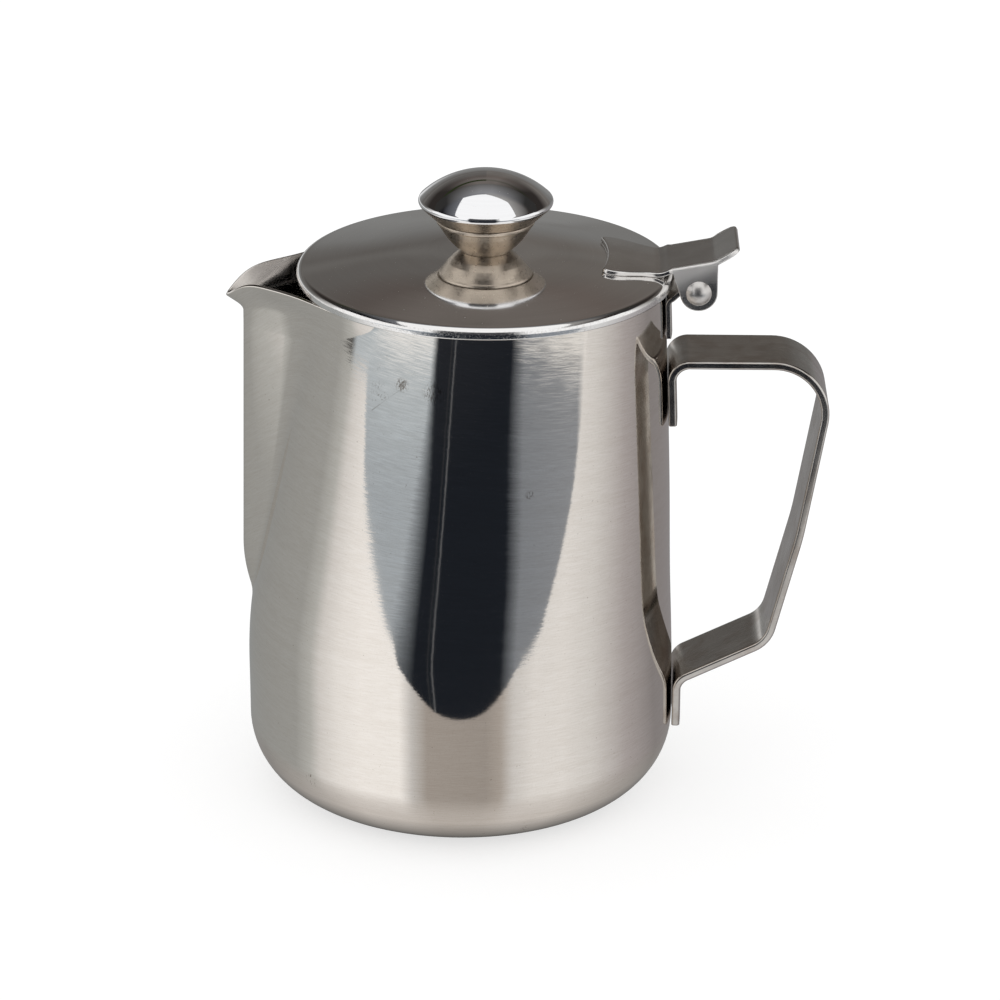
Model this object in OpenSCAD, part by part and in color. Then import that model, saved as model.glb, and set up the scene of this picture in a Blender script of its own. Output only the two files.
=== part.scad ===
// Stainless steel milk jug with a pressed spout, a bent strip handle and a hinged lid.
// Millimetres. The origin is the centre of the jug's flat underside and +Z is up.
// The spout points along -X and the handle along +X.

/* [Jug body] */
// Largest outer radius of the round body
body_r = 52.4; // [50:0.1:56]
// Height of the cut rim above the underside
rim_h = 131.2; // [120:0.2:145]
// Outer radius of the body at the rim
rim_r = 43.4; // [41:0.1:46]
// How far the rim's centre stands off the base's centre, towards the handle
rim_shift = 5.3; // [4:0.1:7]
// Height up to which the body is plumb before it tapers
plumb_h = 31; // [22:1:40]
// Height over which the plumb wall turns into the taper
turn_h = 20; // [10:1:30]
// How far the body's waist stands off the base's centre, towards the spout
belly_shift = 0.5; // [0:0.1:1]
// Height of the body's waist
belly_h = 52; // [44:1:60]
// Outer radius of the rounded bottom corner
corner_r = 18; // [12:0.5:21]
// Sheet thickness of the body
body_t = 0.9; // [0.6:0.1:1.2]

/* [Spout] */
// Distance of the spout's nose from the base's centre
nose_reach = 53.8; // [53:0.1:57]
// How far the nose leans inwards on its way up
nose_lean = 0.7; // [0:0.1:2]
// Height at which the nose is fully formed
nose_h = 62; // [56:1:72]
// Radius of the heel that leads from the body out to the nose
heel_r = 37; // [25:1:60]
// Height of the flared lip zone below the rim
lip_h = 12.2; // [9:0.2:16]
// How far the pouring lip stands out from the nose
lip_reach = 4.2; // [2:0.1:6]
// How far the lip's tip hangs below the rim
lip_drop = 5.1; // [2:0.1:6]
// Rounding of the V-shaped spout at its foot
nose_round_low = 1.3; // [0.8:0.1:2.5]
// Rounding of the V-shaped spout below the lip
nose_round_high = 2.6; // [1.5:0.1:4]
// Rounding of the V-shaped spout at the lip's edge
nose_round_lip = 5.2; // [3.5:0.1:7]
// Width of the valley between spout and body at the spout's foot
valley_low = 0.8; // [0.4:0.1:2]
// Width of the valley between spout and body below the lip
valley_high = 4; // [2:0.5:6]
// Width of the valley between spout and body at the rim
valley_rim = 8; // [4:0.5:10]

/* [Handle] */
// Width of the handle strip
handle_w = 20; // [16:0.5:24]
// Thickness of the handle strip
handle_t = 2; // [1.5:0.1:2.5]
// Rounding of the strip's long edges
handle_edge_r = 0.6; // [0.3:0.05:0.7]
// Height of the middle of the top bar below the rim
handle_top_drop = 18.8; // [17.4:0.2:26]
// Reach of the handle's upper corner beyond the body
handle_reach_top = 37.6; // [30:0.2:44]
// Reach of the handle's lower corner beyond the body
handle_reach_low = 22.9; // [16:0.1:30]
// Height of the handle's lower corner
handle_low_h = 40; // [36:0.5:48]
// Height of the lower bar where it meets the tail
handle_foot_h = 29.4; // [27:0.2:33]
// Height at which the grip bends a little
grip_bend_h = 67.7; // [60:0.5:80]
// How far the grip's bend stands out from the straight line between the corners
grip_bow = 1.4; // [0:0.1:2]
// Bend radius of the upper outer corner, at the middle of the strip
corner_top_r = 12.6; // [8:0.2:16]
// Bend radius of the lower outer corner, at the middle of the strip
corner_low_r = 8; // [5:0.2:12]
// Bend radius of both inner corners, at the middle of the strip
corner_tail_r = 4.2; // [3.2:0.1:5.5]
// Height of the lower end of the top tail below the rim
tail_top_drop = 34.5; // [31:0.5:40]
// Height of the lower end of the bottom tail
tail_low_h = 17.3; // [16:0.1:22]
// Radius to which both tails are curved to follow the body
tail_cup_r = 130; // [60:1:200]

/* [Lid] */
// How far the lid's edge stands over the rim
lid_over = 2.1; // [1.5:0.1:3]
// Sheet thickness of the lid
lid_t = 0.8; // [0.6:0.05:1]
// Height of the lid's edge from its hem to the foot of the crown
lid_edge_h = 2.8; // [2.3:0.1:3.5]
// Radius of the lid's shoulder
shoulder_r = 1.7; // [1:0.1:1.8]
// Rise of the crown from the shoulder to the knob's seat
crown_rise = 3.9; // [3:0.1:5]
// Radius of the flat middle of the crown
crown_flat_r = 10; // [8:0.5:14]
// Radius from which the crown runs straight down to the shoulder
crown_slope_r = 27; // [20:1:34]
// How far the crown's sides swell out from that line
crown_swell = 0.2; // [0:0.05:0.4]
// Width of the hem that is turned in under the lid's edge
hem_w = 4.3; // [3.5:0.1:6]
// Gap between the hem and the rim it rests on
seat_gap = 0.3; // [0.2:0.05:0.5]

/* [Hinge] */
// Distance of the hinge pin from the lid's edge
pin_out = 5.6; // [5:0.1:6.5]
// Depth of the hinge pin below the front of the lever's seat
pin_drop = 5.6; // [4.4:0.1:6]
// Radius of the hinge rivet's shank
pin_r = 2; // [1.6:0.1:2.2]
// Radial running clearance of the shank in the knuckle
pin_gap = 0.06; // [0.02:0.01:0.1]
// Radius of the rivet's domed heads
rivet_head_r = 3.1; // [2.8:0.1:3.8]
// Height of the rivet's domed heads
rivet_head_h = 1.6; // [1:0.1:2]
// Sheet thickness of the hinge bracket
bracket_t = 1.2; // [1:0.1:1.4]
// Side gap between the bracket and each ear
bracket_gap = 0.25; // [0.2:0.05:0.5]
// Depth of the bracket's lower end below the rim
bracket_drop = 12.6; // [10:0.2:14]
// Depth of the bracket's bend below the rim
bracket_bend_drop = 3.2; // [2.6:0.1:4]
// Inner radius of the bracket's bend
bracket_bend_r = 1.2; // [0.6:0.1:2]
// Radius of the roll of each ear around the pin
ear_r = 4.5; // [4:0.1:4.6]
// Width of each ear where it leaves the lever
ear_w = 10.9; // [10:0.1:12]

/* [Thumb lever] */
// Width of the lever plate
lever_w = 19.2; // [18:0.2:24]
// Thickness of the lever plate
lever_t = 1.15; // [1:0.05:1.3]
// Length of the flat part that is welded to the lid
lever_seat_l = 10.2; // [8:0.2:12]
// How much flatter that part lies than the side of the lid's crown
lever_seat_ease = 2; // [0:0.5:5]
// How far each side of the plate flares out towards its front
lever_flare = 2.9; // [0:0.1:4]
// Length of the curled front end
lever_nose_l = 4.6; // [3:0.2:6]
// Rise of the curled front end
lever_nose_rise = 0.9; // [0.8:0.1:2]
// Length of the raised middle part
lever_mid_l = 12.4; // [12:0.2:16]
// Rise angle of the middle part
lever_mid_angle = 10.6; // [8:0.2:16]
// Length of the thumb tail
lever_tail_l = 7.2; // [5:0.2:8]
// Rise angle of the thumb tail
lever_tail_angle = 31; // [20:1:40]
// Radius of the thumb tail's corners
lever_corner_r = 2.4; // [1:0.1:4]
// Depth of the hollow in the lever's front edge
lever_notch = 1.6; // [0.5:0.1:2.5]

/* [Knob] */
// Largest radius of the knob
knob_r = 16.2; // [14:0.2:18]
// Height of the knob's widest line above the lid
knob_mid_h = 12.4; // [11.6:0.2:14]
// Slope of the dome and of the cap's underside at the rolled edge
dome_angle = 43; // [35:1:50]
// Sheet thickness of the knob's cap
cap_t = 0.8; // [0.6:0.05:1]
// Radius of the cap's rolled edge
cap_roll_r = 1.2; // [1:0.05:1.4]
// Radius of the cap's mouth, where the knob's lower shell enters it
cap_mouth_r = 12.2; // [11:0.1:13]
// Radius of the knob's foot on the lid
foot_r = 5.9; // [5.4:0.1:6.6]
// Wall thickness of the knob's lower shell
shell_t = 1.1; // [0.8:0.1:1.3]
// Thickness of the knob's floor
floor_t = 2; // [1.5:0.1:2.5]
// Radius of the knob screw's shank
screw_r = 2; // [1.5:0.1:2.2]
// Radius of the knob screw's head
screw_head_r = 3.8; // [3.4:0.1:4.4]
// Height of the knob screw's head
screw_head_h = 2.2; // [1.8:0.1:2.6]
// Radius of the washer
washer_r = 5.5; // [5:0.1:6.2]
// Thickness of the washer
washer_t = 0.8; // [0.5:0.1:1.2]
// Width of the hexagonal nut across its flats
nut_w = 7; // [6:0.1:7.4]
// Height of the hexagonal nut
nut_h = 3.2; // [2.5:0.1:3.6]

/* [Hidden] */

// Facets of a full turned shape
turn_fn = 96;
// Overrun of every cut
over = 1;
// Gap between two pieces that are welded or pressed together
weld_gap = 0.15;
// Radial gap of a pressed or screwed fit
fit_gap = 0.02;
// Clearance of the screw in the holes of lid and washer
hole_gap = 0.2;

// Body: the round wall is plumb, then tapers about an axis that leans to the handle
function ease(z) = z < plumb_h ? 0
    : z < plumb_h + turn_h ? (z - plumb_h) * (z - plumb_h) / (2 * turn_h)
    : z - plumb_h - turn_h / 2;
lean = rim_shift / ease(rim_h);
taper = (body_r - rim_r) / ease(rim_h);
belly_spread_share = 0.42;
belly_spread = belly_spread_share * belly_h;
function axis_x(z) = lean * ease(z) - belly_shift * exp(-pow((z - belly_h) / belly_spread, 2));
function round_r(z) = body_r - taper * ease(z);
function back_x(z) = axis_x(z) + round_r(z);

// Spout: half angle of the V at its foot, below the lip and at the lip's edge
v_low = 47;
v_high = 38;
v_lip = 35.7;
// Angle over which the lip's edge dips at the tip
lip_dip_angle = 4.8;
// Shares of the lip zone where the lip starts to turn out and where it runs straight
lip_turn_share = 0.45;
lip_straight_share = 0.75;
lip_z = rim_h - lip_h;
function clamp(v) = max(0, min(1, v));
function mix(a, b, f) = a + (b - a) * f;
function lip_out(s) = let (
        a = lip_turn_share,
        b = lip_straight_share,
        m = 1 / ((b - a) / 2 + 1 - b))
    s < a ? 0 : s < b ? m * (s - a) * (s - a) / (2 * (b - a)) : m * ((b - a) / 2 + s - b);
function rise_share(z) = clamp((z - nose_h) / (lip_z - nose_h));
// The spout's own line stands upright, whatever the body's waist does
function nose_at(z, s) = z < nose_h
    ? nose_reach - (nose_h - z) * (nose_h - z) / (2 * heel_r)
    : nose_reach - nose_lean * rise_share(z) + lip_reach * lip_out(s);
function v_angle(z, s) = mix(mix(v_low, v_high, rise_share(z)), v_lip, s * s);
function v_round(z, s) =
    mix(mix(nose_round_low, nose_round_high, rise_share(z)), nose_round_lip, s * s);
function valley(z, s) =
    mix(mix(valley_low, valley_high, pow(rise_share(z), 2)), valley_rim, s);
// Angle off the spout's line from which the V's flanks draw back into the round wall,
// and the angle over which they would fall back to the axis
flank_angle = 40;
flank_fade_angle = 50;
function flank_share(f) = 1 - pow(max(0, abs(f) - flank_angle) / flank_fade_angle, 2);
// Reach of the rounded V from the body's axis in the direction f off the spout's line
function v_reach(f, z, s) = abs(f) > flank_angle + flank_fade_angle ? 0 : let (
        b = v_round(z, s),
        a = nose_at(z, s) + axis_x(z) + b,
        k = 1 / tan(v_angle(z, s)),
        c = cos(f),
        q = pow(sin(f) * k, 2))
    flank_share(f) * (a * a - b * b) / (a * c + sqrt(c * c * b * b + q * (a * a - b * b)));
// The larger of two reaches, blended over the width w
function blend_max(p, q, w) = let (h = clamp(0.5 + 0.5 * (q - p) / w))
    mix(p, q, h) + w * h * (1 - h);
function rim_z(f) = rim_h - lip_drop * exp(-pow(f / lip_dip_angle, 2));

// Outer surface of the body: a is the angle from +X, and u runs 0 to 1 round the
// bottom corner, 1 to 2 up the wall and 2 to 3 up the lip zone
function outer_point(a, u) = u < 1
    ? let (r = body_r - corner_r + corner_r * sin(90 * u))
        [axis_x(corner_r) * u + r * cos(a), r * sin(a), corner_r * (1 - cos(90 * u))]
    : let (
        f = a - 180,
        s = max(0, u - 2),
        z = u < 2 ? mix(corner_r, lip_z, u - 1) : mix(lip_z, rim_z(f), s),
        r = blend_max(round_r(z), v_reach(f, z, s), valley(z, s)))
        [axis_x(z) + r * cos(a), r * sin(a), z];
// Step of the slopes that give the surface's normal, as shares of u and of a degree
u_step_share = 0.002;
a_step_share = 0.2;
function inner_point(a, u) = let (
        across = outer_point(a + a_step_share, u) - outer_point(a - a_step_share, u),
        along = outer_point(a, u + u_step_share) - outer_point(a, u - u_step_share),
        n = cross(across, along))
    outer_point(a, u) - body_t * n / norm(n);

// Angles of the body's grid off the spout: fine at its tip, coarse round the back
fine_angles = [for (f = [0 : 1.25 : 10]) f];
side_angles = [for (f = [12.5 : 2.5 : 40]) f];
coarse_angles = [for (f = [46 : 6 : 178]) f];
half_angles = concat(fine_angles, side_angles, coarse_angles);
body_angles = concat(
    [for (f = half_angles) 180 + f],
    [for (i = [len(half_angles) - 1 : -1 : 1]) 180 - half_angles[i]]);
// Steps up the body's wall, as shares of the corner, of the wall and of the lip zone
corner_shares = [for (i = [0 : 10]) i / 10];
wall_shares = [0.12, 0.2, 0.26, 0.29, 0.32, 0.35, 0.38, 0.41, 0.45, 0.5, 0.6, 0.7, 0.8, 0.9, 1];
lip_shares = [0.2, 0.4, 0.5, 0.6, 0.7, 0.8, 0.9, 1];
body_steps = concat(
    corner_shares,
    [for (s = wall_shares) 1 + s],
    [for (s = lip_shares) 2 + s]);

module jug_body() {
    count = len(body_angles);
    levels = len(body_steps);
    rings = 2 * levels;
    points = concat(
        [for (u = body_steps, a = body_angles) outer_point(a, u)],
        [for (j = [levels - 1 : -1 : 0], a = body_angles) inner_point(a, body_steps[j])],
        [[0, 0, 0], [0, 0, body_t]]);
    bottom = len(points) - 2;
    floor_point = len(points) - 1;
    walls = [for (j = [0 : rings - 2], i = [0 : count - 1], half = [0, 1]) let (
            k = (i + 1) % count,
            p = j * count,
            q = p + count)
        half == 0 ? [p + i, q + i, q + k] : [p + i, q + k, p + k]];
    underside = [for (i = [0 : count - 1]) [bottom, i, (i + 1) % count]];
    last = (rings - 1) * count;
    floor_face = [for (i = [0 : count - 1]) [floor_point, last + (i + 1) % count, last + i]];
    color("silver")
        polyhedron(points, concat(walls, underside, floor_face), convexity = 6);
}

// Strip paths: each corner is [x, z, bend radius], and each station along the
// path is [x, z, direction x, direction z, step number of its corner, share of the bend]
bend_steps = 12;
function unit(v) = v / norm(v);
function station(p, d, c, s) = [p[0], p[1], d[0], d[1], c, s];
function bend_stations(c, i) = let (
        p = [c[i][0], c[i][1]],
        from = unit(p - [c[i - 1][0], c[i - 1][1]]),
        to = unit([c[i + 1][0], c[i + 1][1]] - p),
        side = from[0] * to[1] - from[1] * to[0] > 0 ? 1 : -1,
        turn = acos(from * to),
        start = p - from * c[i][2] * tan(turn / 2),
        centre = start + side * c[i][2] * [-from[1], from[0]])
    [for (n = [0 : bend_steps]) let (
            a = side * turn * n / bend_steps,
            d = [from[0] * cos(a) - from[1] * sin(a), from[0] * sin(a) + from[1] * cos(a)])
        station(centre - side * c[i][2] * [-d[1], d[0]], d, i, n / bend_steps)];
function end_station(c, i, j) = let (p = [c[i][0], c[i][1]], q = [c[j][0], c[j][1]])
    station(p, i < j ? unit(q - p) : unit(p - q), i, i < j ? 0 : 1);
function strip_path(c) = concat(
    [end_station(c, 0, 1)],
    [for (i = [1 : len(c) - 2]) each bend_stations(c, i)],
    [end_station(c, len(c) - 1, len(c) - 2)]);
// Outline of a strip of thickness t along a path, in the XZ plane
function strip_outline(path, t) = concat(
    [for (p = path) [p[0] - p[3] * t / 2, p[1] + p[2] * t / 2]],
    [for (i = [len(path) - 1 : -1 : 0]) let (p = path[i])
        [p[0] + p[3] * t / 2, p[1] - p[2] * t / 2]]);

// Handle: corners of the strip's middle line, from the bottom tail to the top tail
tail_low_x = back_x(tail_low_h) + weld_gap + handle_t / 2;
handle_top_z = rim_h - handle_top_drop;
tail_top_z = rim_h - tail_top_drop;
tail_top_x = back_x(tail_top_z) + weld_gap + handle_t / 2;
tail_bend_x = back_x(handle_top_z) + weld_gap + handle_t / 2;
corner_low_x = body_r + handle_reach_low;
corner_top_x = body_r + handle_reach_top;
grip_share = (grip_bend_h - handle_low_h) / (handle_top_z - handle_low_h);
grip_bend_x = mix(corner_low_x, corner_top_x, grip_share) + grip_bow;
grip_bend_r = 6 * corner_top_r;
handle_corners = [
    [tail_low_x, tail_low_h, 0],
    [tail_low_x, handle_foot_h, corner_tail_r],
    [corner_low_x, handle_low_h, corner_low_r],
    [grip_bend_x, grip_bend_h, grip_bend_r],
    [corner_top_x, handle_top_z, corner_top_r],
    [tail_bend_x, handle_top_z, corner_tail_r],
    [tail_top_x, tail_top_z, 0]];
handle_path = strip_path(handle_corners);
// The tails are cupped towards the body, and the cup runs out in their bends
function cup_share(p) = p[4] == 0 ? 1
    : p[4] == 1 ? 1 - p[5]
    : p[4] == len(handle_corners) - 2 ? -p[5]
    : p[4] == len(handle_corners) - 1 ? -1
    : 0;
edge_steps = 3;
// Section of the strip: points [across, through] of a rectangle with rounded corners
handle_section = [for (q = [0 : 3], n = [0 : edge_steps]) let (
        a = 90 * q + 90 * n / edge_steps,
        cy = handle_w / 2 - handle_edge_r,
        cz = handle_t / 2 - handle_edge_r)
    [(q == 0 || q == 3 ? cy : -cy) + handle_edge_r * cos(a),
     (q < 2 ? cz : -cz) + handle_edge_r * sin(a)]];
// Extra section points across the flats, so that the cup is a curve
flat_steps = 4;
function flat_run(side) = [for (n = [1 : flat_steps - 1]) let (
        y = mix(1, -1, n / flat_steps) * side * (handle_w / 2 - handle_edge_r))
    [y, side * handle_t / 2]];
cup_section = concat(
    [for (i = [0 : edge_steps]) handle_section[i]],
    flat_run(1),
    [for (i = [edge_steps + 1 : 3 * edge_steps + 2]) handle_section[i]],
    flat_run(-1),
    [for (i = [3 * edge_steps + 3 : 4 * edge_steps + 3]) handle_section[i]]);

module handle() {
    count = len(cup_section);
    stations = len(handle_path);
    points = [for (p = handle_path, s = cup_section) let (
            through = s[1] + cup_share(p) * s[0] * s[0] / (2 * tail_cup_r))
        [p[0] - p[3] * through, s[0], p[1] + p[2] * through]];
    sides = [for (j = [0 : stations - 2], i = [0 : count - 1], half = [0, 1]) let (
            k = (i + 1) % count,
            p = j * count,
            q = p + count)
        half == 0 ? [p + i, q + k, q + i] : [p + i, p + k, q + k]];
    first_end = [[for (i = [count - 1 : -1 : 0]) i]];
    last_end = [[for (i = [0 : count - 1]) (stations - 1) * count + i]];
    color("gray")
        polyhedron(points, concat(sides, first_end, last_end), convexity = 6);
}

// Lid: heights of its hem, of the crown's foot and of the knob's seat
lid_x = axis_x(rim_h);
lid_r = rim_r + lid_over;
hem_z = rim_h + seat_gap;
crown_z = hem_z + lid_edge_h;
seat_z = crown_z + crown_rise;
crown_r = lid_r - shoulder_r;
knob_seat_r = foot_r + body_t;
crown_steps = 18;
// Slope of the crown's straight side, and its height at the radius r
crown_slope = crown_rise / (crown_r - (crown_slope_r + crown_flat_r) / 2);
function crown_drop(r) = r < crown_flat_r ? 0
    : r < crown_slope_r ? pow(r - crown_flat_r, 2) / (2 * (crown_slope_r - crown_flat_r))
    : r - (crown_slope_r + crown_flat_r) / 2;
function crown_at(r) = let (s = (crown_r - r) / (crown_r - knob_seat_r))
    seat_z - crown_slope * crown_drop(r) + 4 * crown_swell * s * (1 - s);
crown_line = [for (n = [0 : crown_steps]) let (r = mix(knob_seat_r, crown_r, n / crown_steps))
    [r, crown_at(r)]];
shoulder_steps = 6;
hem_round = lid_t / 2;
lid_hole_r = screw_r + hole_gap;
lid_outline = concat(
    [[lid_hole_r, seat_z]],
    crown_line,
    [for (n = [1 : shoulder_steps]) let (a = 90 - 90 * n / shoulder_steps)
        [crown_r + shoulder_r * cos(a), crown_z - shoulder_r + shoulder_r * sin(a)]],
    [[lid_r, hem_z + hem_round],
     [lid_r - hem_round, hem_z],
     [lid_r - hem_w, hem_z],
     [lid_r - hem_w, hem_z + lid_t],
     [lid_r - lid_t, hem_z + lid_t],
     [lid_r - lid_t, crown_z - shoulder_r],
     [crown_r, crown_z - lid_t]],
    [for (n = [crown_steps : -1 : 0]) crown_line[n] - [0, lid_t]],
    [[lid_hole_r, seat_z - lid_t]]);

module lid() {
    color("dimgray")
        translate([lid_x, 0, 0])
            rotate_extrude($fn = turn_fn)
                polygon(lid_outline);
}

// Thumb lever: corners of the plate's middle line, from its front to its tail
lever_seat_angle = atan(crown_slope) - lever_seat_ease;
lever_seat = lever_seat_l * [cos(lever_seat_angle), -sin(lever_seat_angle)];
lever_back_x = lid_x + lid_r - 2 * shoulder_r + lever_t / 3;
lever_front_x = lever_back_x - lever_seat[0];
lever_seat_z = crown_at(lever_front_x - lid_x) + weld_gap;
lever_mid_z = lever_seat_z + lever_t / 2 / cos(lever_seat_angle);
lever_back_z = lever_mid_z + lever_seat[1];
lever_mid = lever_mid_l * [cos(lever_mid_angle), sin(lever_mid_angle)];
lever_tail = lever_tail_l * [cos(lever_tail_angle), sin(lever_tail_angle)];
lever_corners = [
    [lever_front_x - lever_nose_l, lever_mid_z + lever_nose_rise, 0],
    [lever_front_x, lever_mid_z, 10 * lever_t],
    [lever_back_x, lever_back_z, 5 * lever_t],
    [lever_back_x + lever_mid[0], lever_back_z + lever_mid[1], 4 * lever_t],
    [lever_back_x + lever_mid[0] + lever_tail[0], lever_back_z + lever_mid[1] + lever_tail[1], 0]];
lever_path = strip_path(lever_corners);
lever_tip_x = lever_front_x - lever_nose_l;
// Plan of the plate, flared towards its front and rounded at all corners. The flare is
// given in shares of its length and of its width
flare_share = [[0.27, 0.27], [0.45, 0.59], [0.64, 0.83], [0.82, 1], [0.93, 0.94], [1, 0.72]];
flare_last = len(flare_share) - 1;
flare_x = lever_back_x - lever_t;
function flare_point(n, side) = [mix(flare_x, lever_tip_x, flare_share[n][0]),
    side * (lever_w / 2 + flare_share[n][1] * lever_flare)];
lever_end_x = lever_corners[4][0] + lever_t;
plan_steps = 6;
lever_plan = concat(
    [for (n = [flare_last : -1 : 0]) flare_point(n, -1)],
    [[flare_x, -lever_w / 2]],
    [for (n = [0 : plan_steps]) let (a = -90 + 90 * n / plan_steps)
        [lever_end_x - lever_t / 2 - lever_corner_r + lever_corner_r * cos(a),
         -lever_w / 2 + lever_corner_r + lever_corner_r * sin(a)]],
    [for (n = [0 : plan_steps]) let (a = 90 * n / plan_steps)
        [lever_end_x - lever_t / 2 - lever_corner_r + lever_corner_r * cos(a),
         lever_w / 2 - lever_corner_r + lever_corner_r * sin(a)]],
    [[flare_x, lever_w / 2]],
    [for (n = [0 : flare_last]) flare_point(n, 1)]);
// The hollow in the front edge runs from one front corner to the other
notch_half = flare_point(flare_last, 1)[1];
notch_r = (pow(notch_half, 2) + pow(lever_notch, 2)) / (2 * lever_notch);

// Hinge: the pin's place, and the ears that hang from the lever's sides
pin_x = lid_x + lid_r + pin_out;
pin_z = lever_seat_z - pin_drop;
ear_hole_r = pin_r + fit_gap;
ear_right_x = pin_x + ear_r;
ear_left_x = ear_right_x - ear_w;
function lever_top_at(x) = lever_back_z + max(0, x - lever_back_x) * tan(lever_mid_angle);
ear_steps = 24;
// The ear's left flank leaves the roll where it is tangent to the lever's corner
ear_corner = [ear_left_x, lever_top_at(ear_left_x)] - [pin_x, pin_z];
ear_tangent = atan2(ear_corner[1], ear_corner[0]) + acos(ear_r / norm(ear_corner));
ear_outline = concat(
    [[ear_right_x, lever_top_at(ear_right_x)],
     [ear_left_x, lever_top_at(ear_left_x)]],
    [for (n = [0 : ear_steps]) let (a = mix(ear_tangent, 360, n / ear_steps))
        [pin_x + ear_r * cos(a), pin_z + ear_r * sin(a)]]);

// A flat outline in the XZ plane, as a plate that is centred on y
module upright(y, w) {
    translate([0, y + w / 2, 0])
        rotate([90, 0, 0])
            linear_extrude(w)
                children();
}

module thumb_lever() {
    color("dimgray")
        union() {
            difference() {
                intersection() {
                    upright(0, lever_w + 2 * (lever_flare + over))
                        polygon(strip_outline(lever_path, lever_t));
                    translate([0, 0, lever_back_z - lever_t - over])
                        linear_extrude(lever_w)
                            polygon(lever_plan);
                }
                translate([lever_tip_x + lever_notch - notch_r, 0, lever_back_z - lever_t - over])
                    cylinder(h = lever_w, r = notch_r, $fn = turn_fn);
            }
            for (side = [-1, 1])
                upright(side * (lever_w - lever_t) / 2, lever_t)
                    difference() {
                        polygon(ear_outline);
                        translate([pin_x, pin_z])
                            circle(r = ear_hole_r, $fn = turn_fn);
                    }
        }
}

// Rivet: half of its turned outline, from the middle of the shank to the head's crown
rivet_half = lever_w / 2 + fit_gap;
rivet_steps = 8;
rivet_dome_r = (rivet_head_r * rivet_head_r + rivet_head_h * rivet_head_h) / (2 * rivet_head_h);
rivet_dome_angle = asin(rivet_head_r / rivet_dome_r);
rivet_dome = [for (n = [0 : rivet_steps]) let (a = rivet_dome_angle * n / rivet_steps)
    [rivet_dome_r * sin(a), rivet_half + rivet_head_h - rivet_dome_r * (1 - cos(a))]];
rivet_outline = concat(
    rivet_dome,
    [[pin_r, rivet_half], [pin_r, -rivet_half]],
    [for (n = [rivet_steps : -1 : 0]) [rivet_dome[n][0], -rivet_dome[n][1]]]);

module hinge_rivet() {
    color("lightgray")
        translate([pin_x, 0, pin_z])
            rotate([90, 0, 0])
                rotate_extrude($fn = turn_fn)
                    polygon(rivet_outline);
}

// Bracket: it stands on the body's back wall, bends out and rolls over the pin
bracket_w = lever_w - 2 * lever_t - 2 * bracket_gap;
bracket_low_z = rim_h - bracket_drop;
bracket_bend_z = rim_h - bracket_bend_drop;
bracket_low_x = back_x(bracket_low_z) + weld_gap + bracket_t / 2;
bracket_bend_x = back_x(bracket_bend_z) + weld_gap + bracket_t / 2;
knuckle_r = pin_r + pin_gap;
roll_r = knuckle_r + bracket_t / 2;
// Direction of the arm that touches the roll's middle line on its upper left
arm = [pin_x, pin_z] - [bracket_bend_x, bracket_bend_z];
arm_angle = atan2(arm[1], arm[0]) + asin(roll_r / norm(arm));
function from_pin(u, v) = [pin_x, pin_z] + u * [cos(arm_angle), sin(arm_angle)]
    + v * [-sin(arm_angle), cos(arm_angle)];
bracket_path = strip_path([
    [bracket_low_x, bracket_low_z, 0],
    [bracket_bend_x, bracket_bend_z, bracket_bend_r + bracket_t / 2],
    [from_pin(0, roll_r)[0], from_pin(0, roll_r)[1], 0]]);
// The roll runs clockwise round the pin and stops short of the arm's underside
knuckle_steps = 40;
roll_slit = bracket_t / 3;
roll_out_r = knuckle_r + bracket_t;
roll_sweep = 270 + asin((knuckle_r - roll_slit) / roll_out_r);
arm_last = len(bracket_path) - 1;
bracket_outline = concat(
    [for (p = bracket_path) [p[0] - p[3] * bracket_t / 2, p[1] + p[2] * bracket_t / 2]],
    [for (n = [1 : knuckle_steps]) let (a = 90 - roll_sweep * n / knuckle_steps)
        from_pin(roll_out_r * cos(a), roll_out_r * sin(a))],
    [from_pin(-roll_slit, knuckle_r - roll_slit),
     from_pin(-roll_slit, knuckle_r)],
    [for (i = [arm_last - 1 : -1 : 0]) let (p = bracket_path[i])
        [p[0] + p[3] * bracket_t / 2, p[1] - p[2] * bracket_t / 2]]);

module hinge_bracket() {
    color("gray")
        upright(0, bracket_w)
            difference() {
                polygon(bracket_outline);
                translate([pin_x, pin_z])
                    circle(r = knuckle_r, $fn = turn_fn);
            }
}

// Knob cap: a ball-shaped dome, rolled in at its edge to a sloping underside
dome_steps = 14;
roll_steps = 8;
knob_mid_z = seat_z + knob_mid_h;
roll_x = knob_r - cap_roll_r;
// Radius and centre height of the dome, which runs tangent into the rolled edge
dome_r = cap_roll_r + roll_x / sin(dome_angle);
dome_z = knob_mid_z - roll_x / tan(dome_angle);
mouth_z = knob_mid_z - cap_roll_r * cos(dome_angle)
    - (roll_x + cap_roll_r * sin(dome_angle) - cap_mouth_r) * tan(dome_angle);
// Outline of the cap, set in by the given amount, from the dome's top to its mouth
function cap_line(inset) = concat(
    [for (n = [0 : dome_steps - 1]) let (a = dome_angle * n / dome_steps)
        [(dome_r - inset) * sin(a), dome_z + (dome_r - inset) * cos(a)]],
    [for (n = [0 : roll_steps]) let (a = mix(90 - dome_angle, dome_angle - 90, n / roll_steps))
        [roll_x + (cap_roll_r - inset) * cos(a), knob_mid_z + (cap_roll_r - inset) * sin(a)]],
    [[cap_mouth_r - inset * sin(dome_angle), mouth_z + inset * cos(dome_angle)]]);
cap_inside = cap_line(cap_t);
cap_outline = concat(
    cap_line(0),
    [for (n = [len(cap_inside) - 1 : -1 : 0]) cap_inside[n]]);

module knob_cap() {
    color("gainsboro")
        translate([lid_x, 0, 0])
            rotate_extrude($fn = turn_fn)
                polygon(cap_outline);
}

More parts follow.
